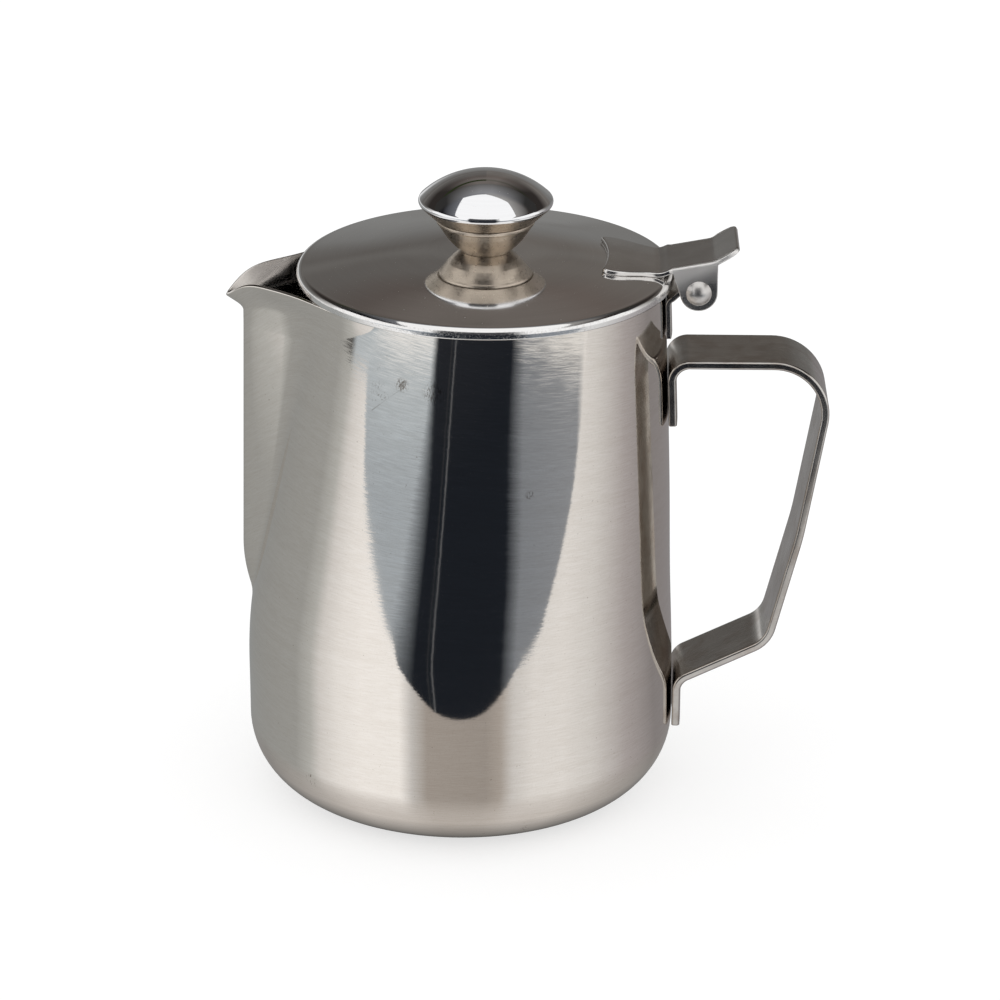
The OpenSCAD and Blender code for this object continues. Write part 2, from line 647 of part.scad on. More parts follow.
// Knob base: a funnel from the foot up to a neck that enters the cap's mouth.
// Shares of the mouth's radius and of its height over the lid
funnel_share = [[0.64, 0.21], [0.755, 0.405], [0.86, 0.64], [0.935, 0.82], [0.965, 0.87]];
funnel_line = concat(
    [[foot_r, seat_z]],
    [for (s = funnel_share) [s[0] * cap_mouth_r, mix(seat_z, mouth_z, s[1])]]);
// Direction across the shell's wall, as shares of its thickness
shell_in_share = [-0.8, 0.6];
neck_r = cap_mouth_r - cap_t * sin(dome_angle) - weld_gap;
screw_hole_r = screw_r + fit_gap;
base_outline = concat(
    [[screw_hole_r, seat_z]],
    funnel_line,
    [[cap_mouth_r - weld_gap, mouth_z - weld_gap],
     [neck_r, mouth_z - weld_gap],
     [neck_r, mouth_z + cap_t],
     [neck_r - shell_t, mouth_z + cap_t]],
    [for (n = [len(funnel_line) - 2 : -1 : 2]) funnel_line[n] + shell_t * shell_in_share],
    [[foot_r - shell_t / 2, seat_z + floor_t],
     [screw_hole_r, seat_z + floor_t]]);

module knob_base() {
    color("tan")
        translate([lid_x, 0, 0])
            rotate_extrude($fn = turn_fn)
                polygon(base_outline);
}

// Fasteners of the knob, from the nut inside it down to the screw's head
nut_z = seat_z + floor_t + fit_gap;
washer_z = seat_z - lid_t - washer_t - fit_gap;
head_z = washer_z - fit_gap;
screw_top_z = nut_z + nut_h + screw_r / 2;

module knob_nut() {
    color("darkgray")
        translate([lid_x, 0, nut_z])
            difference() {
                cylinder(h = nut_h, r = nut_w / 2 / cos(30), $fn = 6);
                translate([0, 0, -over])
                    cylinder(h = nut_h + 2 * over, r = screw_hole_r, $fn = turn_fn);
            }
}

slot_w = screw_head_r / 4;
slot_h = screw_head_h / 3;
head_chamfer = screw_head_h / 4;

module knob_screw() {
    color("lightgray")
        translate([lid_x, 0, 0])
            difference() {
                rotate_extrude($fn = turn_fn)
                    polygon([
                        [0, head_z - screw_head_h],
                        [screw_head_r - head_chamfer, head_z - screw_head_h],
                        [screw_head_r, head_z - screw_head_h + head_chamfer],
                        [screw_head_r, head_z],
                        [screw_r, head_z],
                        [screw_r, screw_top_z],
                        [0, screw_top_z]]);
                translate([-screw_head_r - over, -slot_w / 2, head_z - screw_head_h - over])
                    cube([2 * (screw_head_r + over), slot_w, slot_h + over]);
            }
}

module knob_washer() {
    color("darkgray")
        translate([lid_x, 0, washer_z])
            difference() {
                cylinder(h = washer_t, r = washer_r, $fn = turn_fn);
                translate([0, 0, -over])
                    cylinder(h = washer_t + 2 * over, r = lid_hole_r, $fn = turn_fn);
            }
}

jug_body();
handle();
hinge_bracket();
lid();
thumb_lever();
hinge_rivet();
knob_cap();
knob_base();
knob_nut();
knob_screw();
knob_washer();
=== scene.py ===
"""Looks of the stainless steel milk jug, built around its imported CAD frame."""

import math

import bpy
import numpy as np
from mathutils import Matrix


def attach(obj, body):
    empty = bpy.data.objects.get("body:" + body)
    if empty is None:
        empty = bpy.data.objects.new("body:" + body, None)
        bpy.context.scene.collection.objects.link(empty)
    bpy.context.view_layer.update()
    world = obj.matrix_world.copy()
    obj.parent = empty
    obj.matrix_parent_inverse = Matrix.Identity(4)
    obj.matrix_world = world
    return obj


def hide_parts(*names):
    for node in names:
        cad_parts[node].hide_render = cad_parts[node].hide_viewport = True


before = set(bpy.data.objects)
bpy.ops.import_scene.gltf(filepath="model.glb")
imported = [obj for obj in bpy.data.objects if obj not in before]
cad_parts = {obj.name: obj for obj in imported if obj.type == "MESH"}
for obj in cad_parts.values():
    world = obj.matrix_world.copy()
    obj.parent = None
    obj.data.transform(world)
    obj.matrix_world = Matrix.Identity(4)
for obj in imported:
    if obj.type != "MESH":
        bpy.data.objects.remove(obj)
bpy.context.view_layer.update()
MM = 0.001

# Sizes, in millimetres
BODY_R, RIM_H, RIM_R, RIM_SHIFT = 52.4, 131.2, 43.4, 5.3
PLUMB_H, TURN_H = 31.0, 20.0
BELLY_SHIFT, BELLY_H, BELLY_SPREAD = 0.5, 52.0, 21.84
CORNER_R, BODY_T = 18.0, 0.9
NOSE_REACH, NOSE_LEAN, NOSE_H, HEEL_R = 53.8, 0.7, 62.0, 37.0
LIP_H, LIP_REACH, LIP_DROP, LIP_DIP = 12.2, 4.2, 5.1, 4.8
NOSE_ROUND = (1.3, 2.6, 5.2)
VALLEY = (0.8, 4.0, 8.0)
V_ANGLE = (47.0, 38.0, 35.7)
LIP_Z = RIM_H - LIP_H
WELD_GAP, FIT_GAP = 0.15, 0.02

HANDLE_W, HANDLE_T, HANDLE_EDGE_R = 20.0, 2.0, 0.6
LID_R, LID_T, LID_EDGE_H, SHOULDER_R = 45.5, 0.8, 2.8, 1.7
CROWN_RISE, CROWN_FLAT_R, CROWN_SLOPE_R, CROWN_SWELL = 3.9, 5.5, 31.5, 0.2
HEM_W, SEAT_GAP = 4.3, 0.3
LEVER_W, LEVER_T, LEVER_FLARE, LEVER_SEAT_L, LEVER_SEAT_EASE = 19.2, 1.15, 2.9, 10.2, 2.0
LEVER_NOSE_L, LEVER_NOSE_RISE = 4.6, 0.9
LEVER_MID_L, LEVER_MID_A, LEVER_TAIL_L, LEVER_TAIL_A = 12.4, 10.6, 7.2, 31.0
LEVER_CORNER_R, LEVER_NOTCH = 2.4, 1.6
PIN_OUT, PIN_DROP, PIN_R, PIN_GAP = 5.6, 5.6, 2.0, 0.06
RIVET_HEAD_R, RIVET_HEAD_H = 3.1, 1.6
BRACKET_T, BRACKET_GAP, BRACKET_DROP, BRACKET_BEND_DROP, BRACKET_BEND_R = 1.2, 0.25, 12.6, 3.2, 1.2
EAR_R, EAR_W = 4.5, 10.9
KNOB_R, KNOB_MID_H, DOME_A, CAP_T, CAP_ROLL_R, CAP_MOUTH_R = 16.2, 12.4, 43.0, 0.8, 1.2, 12.2
FOOT_R, SHELL_T, FLOOR_T, SCREW_R, HOLE_GAP = 5.9, 1.1, 2.0, 2.0, 0.2


def mix(a, b, f):
    return a + (b - a) * f


def sind(a):
    return math.sin(math.radians(a))


def cosd(a):
    return math.cos(math.radians(a))


def tand(a):
    return math.tan(math.radians(a))


# Meshes
def mesh_piece(name, points, faces, sharp=35, smooth_normals=True):
    """A mesh object from points in millimetres, smooth but for edges sharper than the angle."""
    mesh = bpy.data.meshes.new(name)
    mesh.from_pydata([tuple(float(c) * MM for c in p) for p in points], [], faces)
    mesh.validate()
    mesh.shade_smooth()
    piece = bpy.data.objects.new(name, mesh)
    bpy.context.scene.collection.objects.link(piece)
    if smooth_normals:
        mesh.set_sharp_from_angle(angle=math.radians(sharp))
        keep = piece.modifiers.new("even_normals", "WEIGHTED_NORMAL")
        keep.mode = "FACE_AREA"
        keep.keep_sharp = True
    return piece


def ring_faces(rings, count, closed=False):
    """Quads between rings of count points each."""
    faces = []
    for j in range(rings if closed else rings - 1):
        p, q = j * count, ((j + 1) % rings) * count
        faces += [(p + i, p + (i + 1) % count, q + (i + 1) % count, q + i) for i in range(count)]
    return faces


def rounded(outline, steps=6):
    """Outline points [x, y, radius]: each corner with a radius becomes an arc."""
    made, n = [], len(outline)
    for i, (x, y, r) in enumerate(outline):
        p = np.array([x, y], float)
        if r <= 0:
            made.append(p)
            continue
        a = np.array(outline[i - 1][:2], float) - p
        b = np.array(outline[(i + 1) % n][:2], float) - p
        la, lb = np.linalg.norm(a), np.linalg.norm(b)
        a, b = a / la, b / lb
        half = math.acos(max(-1, min(1, float(a @ b)))) / 2
        reach = min(r / math.tan(half), 0.49 * la, 0.49 * lb)
        r = reach * math.tan(half)
        middle = (a + b) / np.linalg.norm(a + b)
        centre = p + middle * r / math.sin(half)
        start, end = p + a * reach - centre, p + b * reach - centre
        turn = math.pi - 2 * half
        for k in range(steps + 1):
            f = k / steps
            made.append(
                centre + (start * math.sin((1 - f) * turn) + end * math.sin(f * turn)) / math.sin(turn)
            )
    return made


def lathe(name, outline, x=0.0, count=192, closed=True, axis="z", z=0.0):
    """Turns an outline of [radius, height] round the vertical line at x, or round Y through (x, z)."""
    points = []
    for r, h in outline:
        for i in range(count):
            c, s = math.cos(2 * math.pi * i / count), math.sin(2 * math.pi * i / count)
            points.append((x + r * c, r * s, h + z) if axis == "z" else (x + r * c, h, z + r * s))
    faces = ring_faces(len(outline), count, closed)
    if not closed:
        faces += [tuple(range(count - 1, -1, -1)), tuple(range((len(outline) - 1) * count, len(outline) * count))]
    piece = mesh_piece(name, points, faces)
    face_outwards(piece)
    return piece


def face_outwards(piece):
    """Turns the faces outwards."""
    import bmesh

    b = bmesh.new()
    b.from_mesh(piece.data)
    bmesh.ops.recalc_face_normals(b, faces=b.faces)
    b.to_mesh(piece.data)
    b.free()


# Body
def ease(z):
    z = np.asarray(z, float)
    return np.where(
        z < PLUMB_H,
        0,
        np.where(z < PLUMB_H + TURN_H, (z - PLUMB_H) ** 2 / (2 * TURN_H), z - PLUMB_H - TURN_H / 2),
    )


LEAN = RIM_SHIFT / float(ease(RIM_H))
TAPER = (BODY_R - RIM_R) / float(ease(RIM_H))


def axis_x(z):
    return LEAN * ease(z) - BELLY_SHIFT * np.exp(-(((z - BELLY_H) / BELLY_SPREAD) ** 2))


def round_r(z):
    return BODY_R - TAPER * ease(z)


def back_x(z):
    return float(axis_x(z) + round_r(z))


def lip_out(s):
    a, b = 0.45, 0.75
    m = 1 / ((b - a) / 2 + 1 - b)
    return np.where(s < a, 0, np.where(s < b, m * (s - a) ** 2 / (2 * (b - a)), m * ((b - a) / 2 + s - b)))


def outer(a, u):
    """Outer surface of the body at the angle a from +X: u is 0 to 1 round the corner, to 2 up the wall, to 3 up the lip."""
    f = (np.asarray(a, float) + 360) % 360 - 180
    s = np.clip(u - 2, 0, None)
    z = np.where(u < 2, mix(CORNER_R, LIP_Z, u - 1), mix(LIP_Z, RIM_H - LIP_DROP * np.exp(-((f / LIP_DIP) ** 2)), s))
    up = np.clip((z - NOSE_H) / (LIP_Z - NOSE_H), 0, 1)
    nose = np.where(
        z < NOSE_H, NOSE_REACH - (NOSE_H - z) ** 2 / (2 * HEEL_R), NOSE_REACH - NOSE_LEAN * up + LIP_REACH * lip_out(s)
    )
    b = mix(mix(NOSE_ROUND[0], NOSE_ROUND[1], up), NOSE_ROUND[2], s * s)
    reach = nose + axis_x(z) + b
    k = 1 / np.tan(np.radians(mix(mix(V_ANGLE[0], V_ANGLE[1], up), V_ANGLE[2], s * s)))
    c, q = np.cos(np.radians(f)), (np.sin(np.radians(f)) * k) ** 2
    spout = (reach**2 - b * b) / (reach * c + np.sqrt(np.maximum(c * c * b * b + q * (reach**2 - b * b), 1e-9)))
    spout = np.where(np.abs(f) > 90, 0, spout * (1 - (np.clip(np.abs(f) - 40, 0, None) / 50) ** 2))
    w = mix(mix(VALLEY[0], VALLEY[1], up**2), VALLEY[2], s)
    h = np.clip(0.5 + 0.5 * (spout - round_r(z)) / w, 0, 1)
    r = mix(round_r(z), spout, h) + w * h * (1 - h)
    turn = np.pi / 2 * np.clip(u, 0, 1)
    low = u < 1
    r = np.where(low, BODY_R - CORNER_R + CORNER_R * np.sin(turn), r)
    x = np.where(low, axis_x(CORNER_R) * np.clip(u, 0, 1), axis_x(z))
    z = np.where(low, CORNER_R * (1 - np.cos(turn)), z)
    return np.stack([x + r * np.cos(np.radians(a)), r * np.sin(np.radians(a)), z], -1)


def unit(v):
    return v / np.linalg.norm(v, axis=-1, keepdims=True)


def body_normal(a, u):
    return unit(np.cross(outer(a + 0.1, u) - outer(a - 0.1, u), outer(a, u + 0.001) - outer(a, u - 0.001)))


def make_body():
    fine = list(np.arange(0, 14, 0.5)) + list(np.arange(14, 44, 1.0))
    half = fine + list(np.arange(44, 178.5, 2.0)) + [180.0]
    a = np.array([180 + f for f in half] + [180 - f for f in half[-2:0:-1]])
    corner = np.linspace(0, 1, 22)
    wall = 1 + np.linspace(0, 1, 72)[1:]
    lip = 2 + np.linspace(0, 1, 28)[1:-1]
    u = np.concatenate([corner, wall, lip])
    a_grid, u_grid = np.meshgrid(a, u)
    out = outer(a_grid, u_grid)
    out_n = body_normal(a_grid, u_grid)
    # The wall's inner side, and the cut rim with two rounded edges between them
    rim = outer(a, np.full_like(a, 3.0))
    rim_n = body_normal(a, np.full_like(a, 3.0))
    across = unit(outer(a + 0.1, np.full_like(a, 3.0)) - outer(a - 0.1, np.full_like(a, 3.0)))
    along = np.cross(rim_n, across)
    edge = 0.3
    rows, normals = [*out], [*out_n]
    arc = np.linspace(0, np.pi / 2, 6)
    for side in (0, 1):
        for t in arc if side == 0 else arc[::-1]:
            depth = edge * (1 - math.cos(t)) if side == 0 else BODY_T - edge * (1 - math.cos(t))
            rows.append(rim - rim_n * depth - along * edge * (1 - math.sin(t)))
            normals.append(unit((1 - 2 * side) * rim_n * math.cos(t) + along * math.sin(t)))
    for p, n in zip(out[::-1], out_n[::-1]):
        rows.append(p - n * BODY_T)
        normals.append(-n)
    # Floor: rings to the middle, above and below
    count = len(a)
    shares = (0.92, 0.8, 0.65, 0.5, 0.35, 0.2, 0.08)
    ring = rows[-1]
    for s in shares:
        rows.append(np.stack([ring[:, 0] * s, ring[:, 1] * s, np.full(count, BODY_T)], -1))
        normals.append(np.tile([0.0, 0.0, 1.0], (count, 1)))
    under = [np.stack([out[0][:, 0] * s, out[0][:, 1] * s, np.zeros(count)], -1) for s in shares[::-1]]
    rows = under + rows
    normals = [np.tile([0.0, 0.0, -1.0], (count, 1))] * len(shares) + normals
    points, n = np.concatenate(rows), np.concatenate(normals)
    levels = len(rows)
    faces = ring_faces(levels, count)
    points = np.concatenate([points, [[0, 0, 0], [0, 0, BODY_T]]])
    n = np.concatenate([n, [[0, 0, -1], [0, 0, 1]]])
    bottom, top, last = levels * count, levels * count + 1, (levels - 1) * count
    faces += [(bottom, (i + 1) % count, i) for i in range(count)]
    faces += [(top, last + i, last + (i + 1) % count) for i in range(count)]
    piece = mesh_piece("jug_shell", points, faces, smooth_normals=False)
    piece.data.normals_split_custom_set_from_vertices([tuple(v) for v in n])
    return piece


# Strips
def strip_path(corners, steps=20):
    """Stations [x, z, dx, dz, corner, share] along a line with rounded corners [x, z, radius]."""
    c = [np.array(p, float) for p in corners]
    first, last = unit(c[1][:2] - c[0][:2]), unit(c[-1][:2] - c[-2][:2])
    made = [(*c[0][:2], *first, 0, 0.0)]
    for i in range(1, len(c) - 1):
        a, b = unit(c[i][:2] - c[i - 1][:2]), unit(c[i + 1][:2] - c[i][:2])
        side = 1 if a[0] * b[1] - a[1] * b[0] > 0 else -1
        turn = math.acos(max(-1, min(1, float(a @ b))))
        start = c[i][:2] - a * c[i][2] * math.tan(turn / 2)
        centre = start + side * c[i][2] * np.array([-a[1], a[0]])
        for k in range(steps + 1):
            t = side * turn * k / steps
            d = np.array([a[0] * math.cos(t) - a[1] * math.sin(t), a[0] * math.sin(t) + a[1] * math.cos(t)])
            p = centre - side * c[i][2] * np.array([-d[1], d[0]])
            made.append((*p, *d, i, k / steps))
    made.append((*c[-1][:2], *last, len(c) - 1, 1.0))
    return made


def sweep_strip(name, path, width, thick, edge_r, cup=None, end_r=0.3, flat_steps=8, edge_steps=6):
    """A strip with rounded long edges and softened ends, swept along stations in the XZ plane."""

    def section(inset):
        w, t, r = width / 2 - inset, thick / 2 - inset, max(edge_r - inset, 0.05)
        pts = []
        for q, (sy, sz) in enumerate(((1, 1), (-1, 1), (-1, -1), (1, -1))):
            for k in range(edge_steps + 1):
                t_ = math.radians(90 * q + 90 * k / edge_steps)
                pts.append((sy * (w - r) + r * math.cos(t_), sz * (t - r) + r * math.sin(t_)))
            if q in (0, 2):
                span = [mix(sy * (w - r), -sy * (w - r), k / flat_steps) for k in range(1, flat_steps)]
                pts += [(y, sz * t) for y in span]
        return pts

    rings, stations = [], list(path)
    steps = 4
    head, tail = stations[0], stations[-1]
    plan = []
    for k in range(steps + 1):
        t = math.pi / 2 * k / steps
        plan.append((head, end_r * (1 - math.sin(t)), end_r * (1 - math.cos(t)), 1))
    plan += [(s, 0.0, 0.0, 0) for s in stations[1:-1]]
    for k in range(steps, -1, -1):
        t = math.pi / 2 * k / steps
        plan.append((tail, end_r * (1 - math.sin(t)), end_r * (1 - math.cos(t)), -1))
    for s, inset, push, way in plan:
        bend = cup(s) if cup else 0.0
        for y, h in section(inset):
            through = h + bend * y * y / 2
            rings.append((s[0] + way * push * s[2] - s[3] * through, y, s[1] + way * push * s[3] + s[2] * through))
    count = len(section(0))
    faces = ring_faces(len(plan), count)
    faces += [tuple(range(count)), tuple(range((len(plan) - 1) * count, len(plan) * count))]
    piece = mesh_piece(name, rings, faces, sharp=50)
    face_outwards(piece)
    return piece


def make_handle():
    top_z, tail_z = RIM_H - 18.8, RIM_H - 34.5
    low_x = back_x(17.3) + WELD_GAP + HANDLE_T / 2
    out_low, out_top = BODY_R + 22.9, BODY_R + 37.6
    grip_x = mix(out_low, out_top, (67.7 - 40) / (top_z - 40)) + 1.4
    corners = [
        (low_x, 17.3, 0),
        (low_x, 29.4, 4.2),
        (out_low, 40.0, 8.0),
        (grip_x, 67.7, 75.6),
        (out_top, top_z, 12.6),
        (back_x(top_z) + WELD_GAP + HANDLE_T / 2, top_z, 4.2),
        (back_x(tail_z) + WELD_GAP + HANDLE_T / 2, tail_z, 0),
    ]
    last = len(corners) - 1

    def cup(s):
        share = {0: 1.0, 1: 1 - s[5], last - 1: -s[5], last: -1.0}.get(s[4], 0.0)
        return share / 130.0

    return sweep_strip("handle_strip", strip_path(corners), HANDLE_W, HANDLE_T, HANDLE_EDGE_R, cup)


# Lid, lever and hinge
LID_X = float(axis_x(RIM_H))
HEM_Z = RIM_H + SEAT_GAP
CROWN_Z = HEM_Z + LID_EDGE_H
SEAT_Z = CROWN_Z + CROWN_RISE
CROWN_R = LID_R - SHOULDER_R
KNOB_SEAT_R = FOOT_R + BODY_T
CROWN_SLOPE = CROWN_RISE / (CROWN_R - (CROWN_SLOPE_R + CROWN_FLAT_R) / 2)


def crown_at(r):
    s = (CROWN_R - r) / (CROWN_R - KNOB_SEAT_R)
    bend = min(max(r - CROWN_FLAT_R, 0.0), CROWN_SLOPE_R - CROWN_FLAT_R)
    drop = bend**2 / (2 * (CROWN_SLOPE_R - CROWN_FLAT_R)) + max(r - CROWN_SLOPE_R, 0.0)
    return SEAT_Z - CROWN_SLOPE * drop + 4 * CROWN_SWELL * s * (1 - s)


LEVER_SEAT_A = math.degrees(math.atan(CROWN_SLOPE)) - LEVER_SEAT_EASE
LEVER_BACK_X = LID_X + LID_R - 2 * SHOULDER_R + LEVER_T / 3
LEVER_FRONT_X = LEVER_BACK_X - LEVER_SEAT_L * cosd(LEVER_SEAT_A)
LEVER_TIP_X = LEVER_FRONT_X - LEVER_NOSE_L
LEVER_SEAT_Z = crown_at(LEVER_FRONT_X - LID_X) + WELD_GAP
LEVER_MID_Z = LEVER_SEAT_Z + LEVER_T / 2 / cosd(LEVER_SEAT_A)
LEVER_BACK_Z = LEVER_MID_Z - LEVER_SEAT_L * sind(LEVER_SEAT_A)
PIN_X = LID_X + LID_R + PIN_OUT
PIN_Z = LEVER_SEAT_Z - PIN_DROP


def make_lid():
    hole = SCREW_R + HOLE_GAP
    crown = [(r, crown_at(r)) for r in np.linspace(KNOB_SEAT_R, CROWN_R, 48)]
    shoulder = [
        (CROWN_R + SHOULDER_R * math.sin(t), CROWN_Z - SHOULDER_R * (1 - math.cos(t)))
        for t in np.linspace(0, math.pi / 2, 14)[1:]
    ]
    hem = rounded(
        [
            (*shoulder[-1], 0),
            (LID_R, HEM_Z, 0.35),
            (LID_R - HEM_W, HEM_Z, 0.3),
            (LID_R - HEM_W, HEM_Z + LID_T, 0.3),
            (LID_R - LID_T, HEM_Z + LID_T, 0.25),
            (LID_R - LID_T, CROWN_Z - SHOULDER_R, 0.2),
            (CROWN_R, CROWN_Z - LID_T, 0),
        ],
        5,
    )[1:]
    inside = [(r, h - LID_T) for r, h in crown[::-1][1:]]
    outline = [(hole, SEAT_Z)] + crown + shoulder + [tuple(p) for p in hem] + inside + [(hole, SEAT_Z - LID_T)]
    return lathe("lid_disc", outline, LID_X, count=288)


def make_lever():
    mid = LEVER_MID_L * np.array([cosd(LEVER_MID_A), sind(LEVER_MID_A)])
    tail = LEVER_TAIL_L * np.array([cosd(LEVER_TAIL_A), sind(LEVER_TAIL_A)])
    tip, back, back_z = LEVER_TIP_X, LEVER_BACK_X, LEVER_BACK_Z
    path = strip_path(
        [
            (tip, LEVER_MID_Z + LEVER_NOSE_RISE, 0),
            (LEVER_FRONT_X, LEVER_MID_Z, 10 * LEVER_T),
            (back, back_z, 5 * LEVER_T),
            (back + mid[0], back_z + mid[1], 4 * LEVER_T),
            (back + mid[0] + tail[0], back_z + mid[1] + tail[1], 0),
        ],
        24,
    )
    line = np.array([s[:4] for s in path], float)
    end = line[-1, 0]
    horn = LEVER_W / 2 + 0.72 * LEVER_FLARE
    notch_r = (horn**2 + LEVER_NOTCH**2) / (2 * LEVER_NOTCH)
    ear_l, ear_r = PIN_X + EAR_R - EAR_W, PIN_X + EAR_R
    edge, front_r, fold_r = 0.32, 0.9, 0.6

    def corner(y, half, r):
        d = max(0.0, abs(y) - (half - r))
        return r - math.sqrt(max(0.0, r * r - d * d))

    def half_at(x):
        """Half width of the plate, which flares towards its front and is rounded at the tip."""
        share = max(0.0, (back - LEVER_T - x) / (back - LEVER_T - tip))
        s = min(1.0, share / 0.82)
        return LEVER_W / 2 + LEVER_FLARE * (s * s * (3 - 2 * s) - 0.28 * (max(0.0, share - 0.82) / 0.18) ** 2)

    def fold(d):
        """How far the fold between plate and ear lies in from the side, at the depth d below the plate's top."""
        d = max(d, 0.0)
        soft = 0.3 * max(0.0, 1 - d / 4.5) ** 2
        d = min(d, fold_r)
        return soft + fold_r - math.sqrt(max(0.0, fold_r**2 - (fold_r - d) ** 2))

    def plate_point(v, t, inset, h):
        y = v * horn
        x0 = tip + LEVER_NOTCH - notch_r + math.sqrt(notch_r**2 - y * y) + inset + corner(y, horn, front_r)
        x1 = end - LEVER_T / 4 - inset - corner(v * LEVER_W / 2, LEVER_W / 2, LEVER_CORNER_R)
        x = mix(x0, x1, t)
        z, dx, dz = (np.interp(x, line[:, 0], line[:, k]) for k in (1, 2, 3))
        n = math.hypot(dx, dz)
        at_ear = min(1.0, max(0.0, (x - ear_l + 1.2) / 1.6)) * min(1.0, max(0.0, (ear_r + 1.2 - x) / 1.6))
        at_ear *= at_ear * (3 - 2 * at_ear)
        y = v * (half_at(x) - max(inset, at_ear * fold(LEVER_T / 2 - h)))
        # The plate lies on the crown under it
        seat = min(1.0, max(0.0, (back + 2 - x) / 4))
        z = mix(z, crown_at(math.hypot(x - LID_X, y)) + 0.03 + LEVER_T / 2, seat * seat * (3 - 2 * seat))
        return (x - h * dz / n, y, z + h * dx / n)

    across = [math.sin(math.pi / 2 * k / 20) * 0.35 + 0.65 * k / 20 for k in range(-20, 21)]
    along = np.linspace(0, 1, 110)
    nv, nt = len(across), len(along)
    arcs = np.linspace(0, math.pi / 2, 6)
    layers = [(edge * (1 - math.sin(t)), LEVER_T / 2 - edge * (1 - math.cos(t))) for t in arcs]
    layers += [(i, -h) for i, h in layers[::-1]]
    border = (
        [(v, 0.0) for v in across]
        + [(1.0, t) for t in along[1:]]
        + [(v, 1.0) for v in across[-2::-1]]
        + [(-1.0, t) for t in along[-2:0:-1]]
    )
    points, faces = [], []
    for side in (0, -1):
        inset, h = layers[side]
        base = len(points)
        points += [plate_point(v, t, inset, h) for t in along for v in across]
        faces += [
            (base + j * nv + i, base + j * nv + i + 1, base + (j + 1) * nv + i + 1, base + (j + 1) * nv + i)
            for j in range(nt - 1)
            for i in range(nv - 1)
        ]
    start = len(points)
    for inset, h in layers:
        points += [plate_point(v, t, inset, h) for v, t in border]
    count = len(border)
    faces += [tuple(start + i for i in f) for f in ring_faces(len(layers), count)]

    # The ears: a cheek round the pin's hole at each side, folded down from the plate
    def top_at(x):
        return back_z + max(0.0, x - back) * tand(LEVER_MID_A)

    tip_l = np.array([ear_l - PIN_X, top_at(ear_l) - PIN_Z])
    tangent = math.degrees(math.atan2(tip_l[1], tip_l[0]) + math.acos(EAR_R / np.linalg.norm(tip_l)))
    outline = [(EAR_R, top_at(ear_r) - PIN_Z)]
    outline += [tuple(mix(np.array(outline[0]), tip_l, k / 12)) for k in range(1, 12)] + [tuple(tip_l)]
    roll = [(EAR_R * cosd(t), EAR_R * sind(t)) for t in np.linspace(tangent, 360, 48)]
    outline += [tuple(mix(tip_l, np.array(roll[0]), k / 12)) for k in range(1, 12)] + roll
    outline += [tuple(mix(np.array(roll[-1]), np.array(outline[0]), k / 10)) for k in range(1, 10)]
    loop = np.array(outline)
    step = unit(np.roll(loop, -1, 0) - np.roll(loop, 1, 0))
    inward = np.stack([-step[:, 1], step[:, 0]], -1)
    hole = (PIN_R + FIT_GAP) * unit(loop)
    e = 0.25
    for side in (-1, 1):
        rows = [(hole, -LEVER_T / 2)]
        for t in arcs:
            rows.append((loop + inward * e * (1 - math.sin(t)), -LEVER_T / 2 + e * (1 - math.cos(t))))
        for t in arcs[::-1]:
            rows.append((loop + inward * e * (1 - math.sin(t)), LEVER_T / 2 - e * (1 - math.cos(t))))
        rim = rows[-1][0]
        rows += [(mix(rim, hole, k / 14), LEVER_T / 2) for k in range(1, 15)]
        base = len(points)
        for ring, through in rows:
            for p in ring:
                x, z = PIN_X + p[0], PIN_Z + p[1]
                depth = top_at(x) + LEVER_T / 2 - z
                under = 0.02 if depth < LEVER_T else 0.0
                out = min((LEVER_W - LEVER_T) / 2 + through, LEVER_W / 2 - fold(depth) - under)
                points.append((x, side * out, z))
        faces += [tuple(base + i for i in f) for f in ring_faces(len(rows), len(loop), closed=True)]
    piece = mesh_piece("lever_plate", points, faces, sharp=50)
    merge_points(piece)
    face_outwards(piece)
    return piece


def merge_points(piece, gap=0.002):
    """Joins points that lie on each other, where a plate's faces meet its edge."""
    import bmesh

    b = bmesh.new()
    b.from_mesh(piece.data)
    bmesh.ops.remove_doubles(b, verts=b.verts, dist=gap * MM)
    b.to_mesh(piece.data)
    b.free()


def make_bracket():
    width = LEVER_W - 2 * LEVER_T - 2 * BRACKET_GAP
    low_z, bend_z = RIM_H - BRACKET_DROP, RIM_H - BRACKET_BEND_DROP
    low_x = back_x(low_z) + WELD_GAP + BRACKET_T / 2
    bend_x = back_x(bend_z) + WELD_GAP + BRACKET_T / 2
    roll_r = PIN_R + PIN_GAP + BRACKET_T / 2
    pin = np.array([PIN_X, PIN_Z])
    arm = pin - (bend_x, bend_z)
    slope = math.atan2(arm[1], arm[0]) + math.asin(roll_r / np.linalg.norm(arm))
    c, s = math.cos(slope), math.sin(slope)

    def from_pin(u, v):
        return pin + u * np.array([c, s]) + v * np.array([-s, c])

    path = strip_path([(low_x, low_z, 0), (bend_x, bend_z, BRACKET_BEND_R + BRACKET_T / 2), (*from_pin(0, roll_r), 0)])
    slit = BRACKET_T / 3
    sweep = 270 + math.degrees(math.asin((roll_r - BRACKET_T / 2 - slit) / (roll_r + BRACKET_T / 2)))
    for k in range(1, 49):
        t = math.radians(90 - (sweep - 4) * k / 48)
        p = from_pin(roll_r * math.cos(t), roll_r * math.sin(t))
        d = math.sin(t) * np.array([c, s]) - math.cos(t) * np.array([-s, c])
        path.append((*p, *d, 3, 1.0))

    def cup(s):
        return {0: 1.0, 1: 1 - s[5]}.get(s[4], 0.0) / 75.0

    return sweep_strip("bracket_strip", path, width, BRACKET_T, 0.25, cup, end_r=0.2, flat_steps=6)


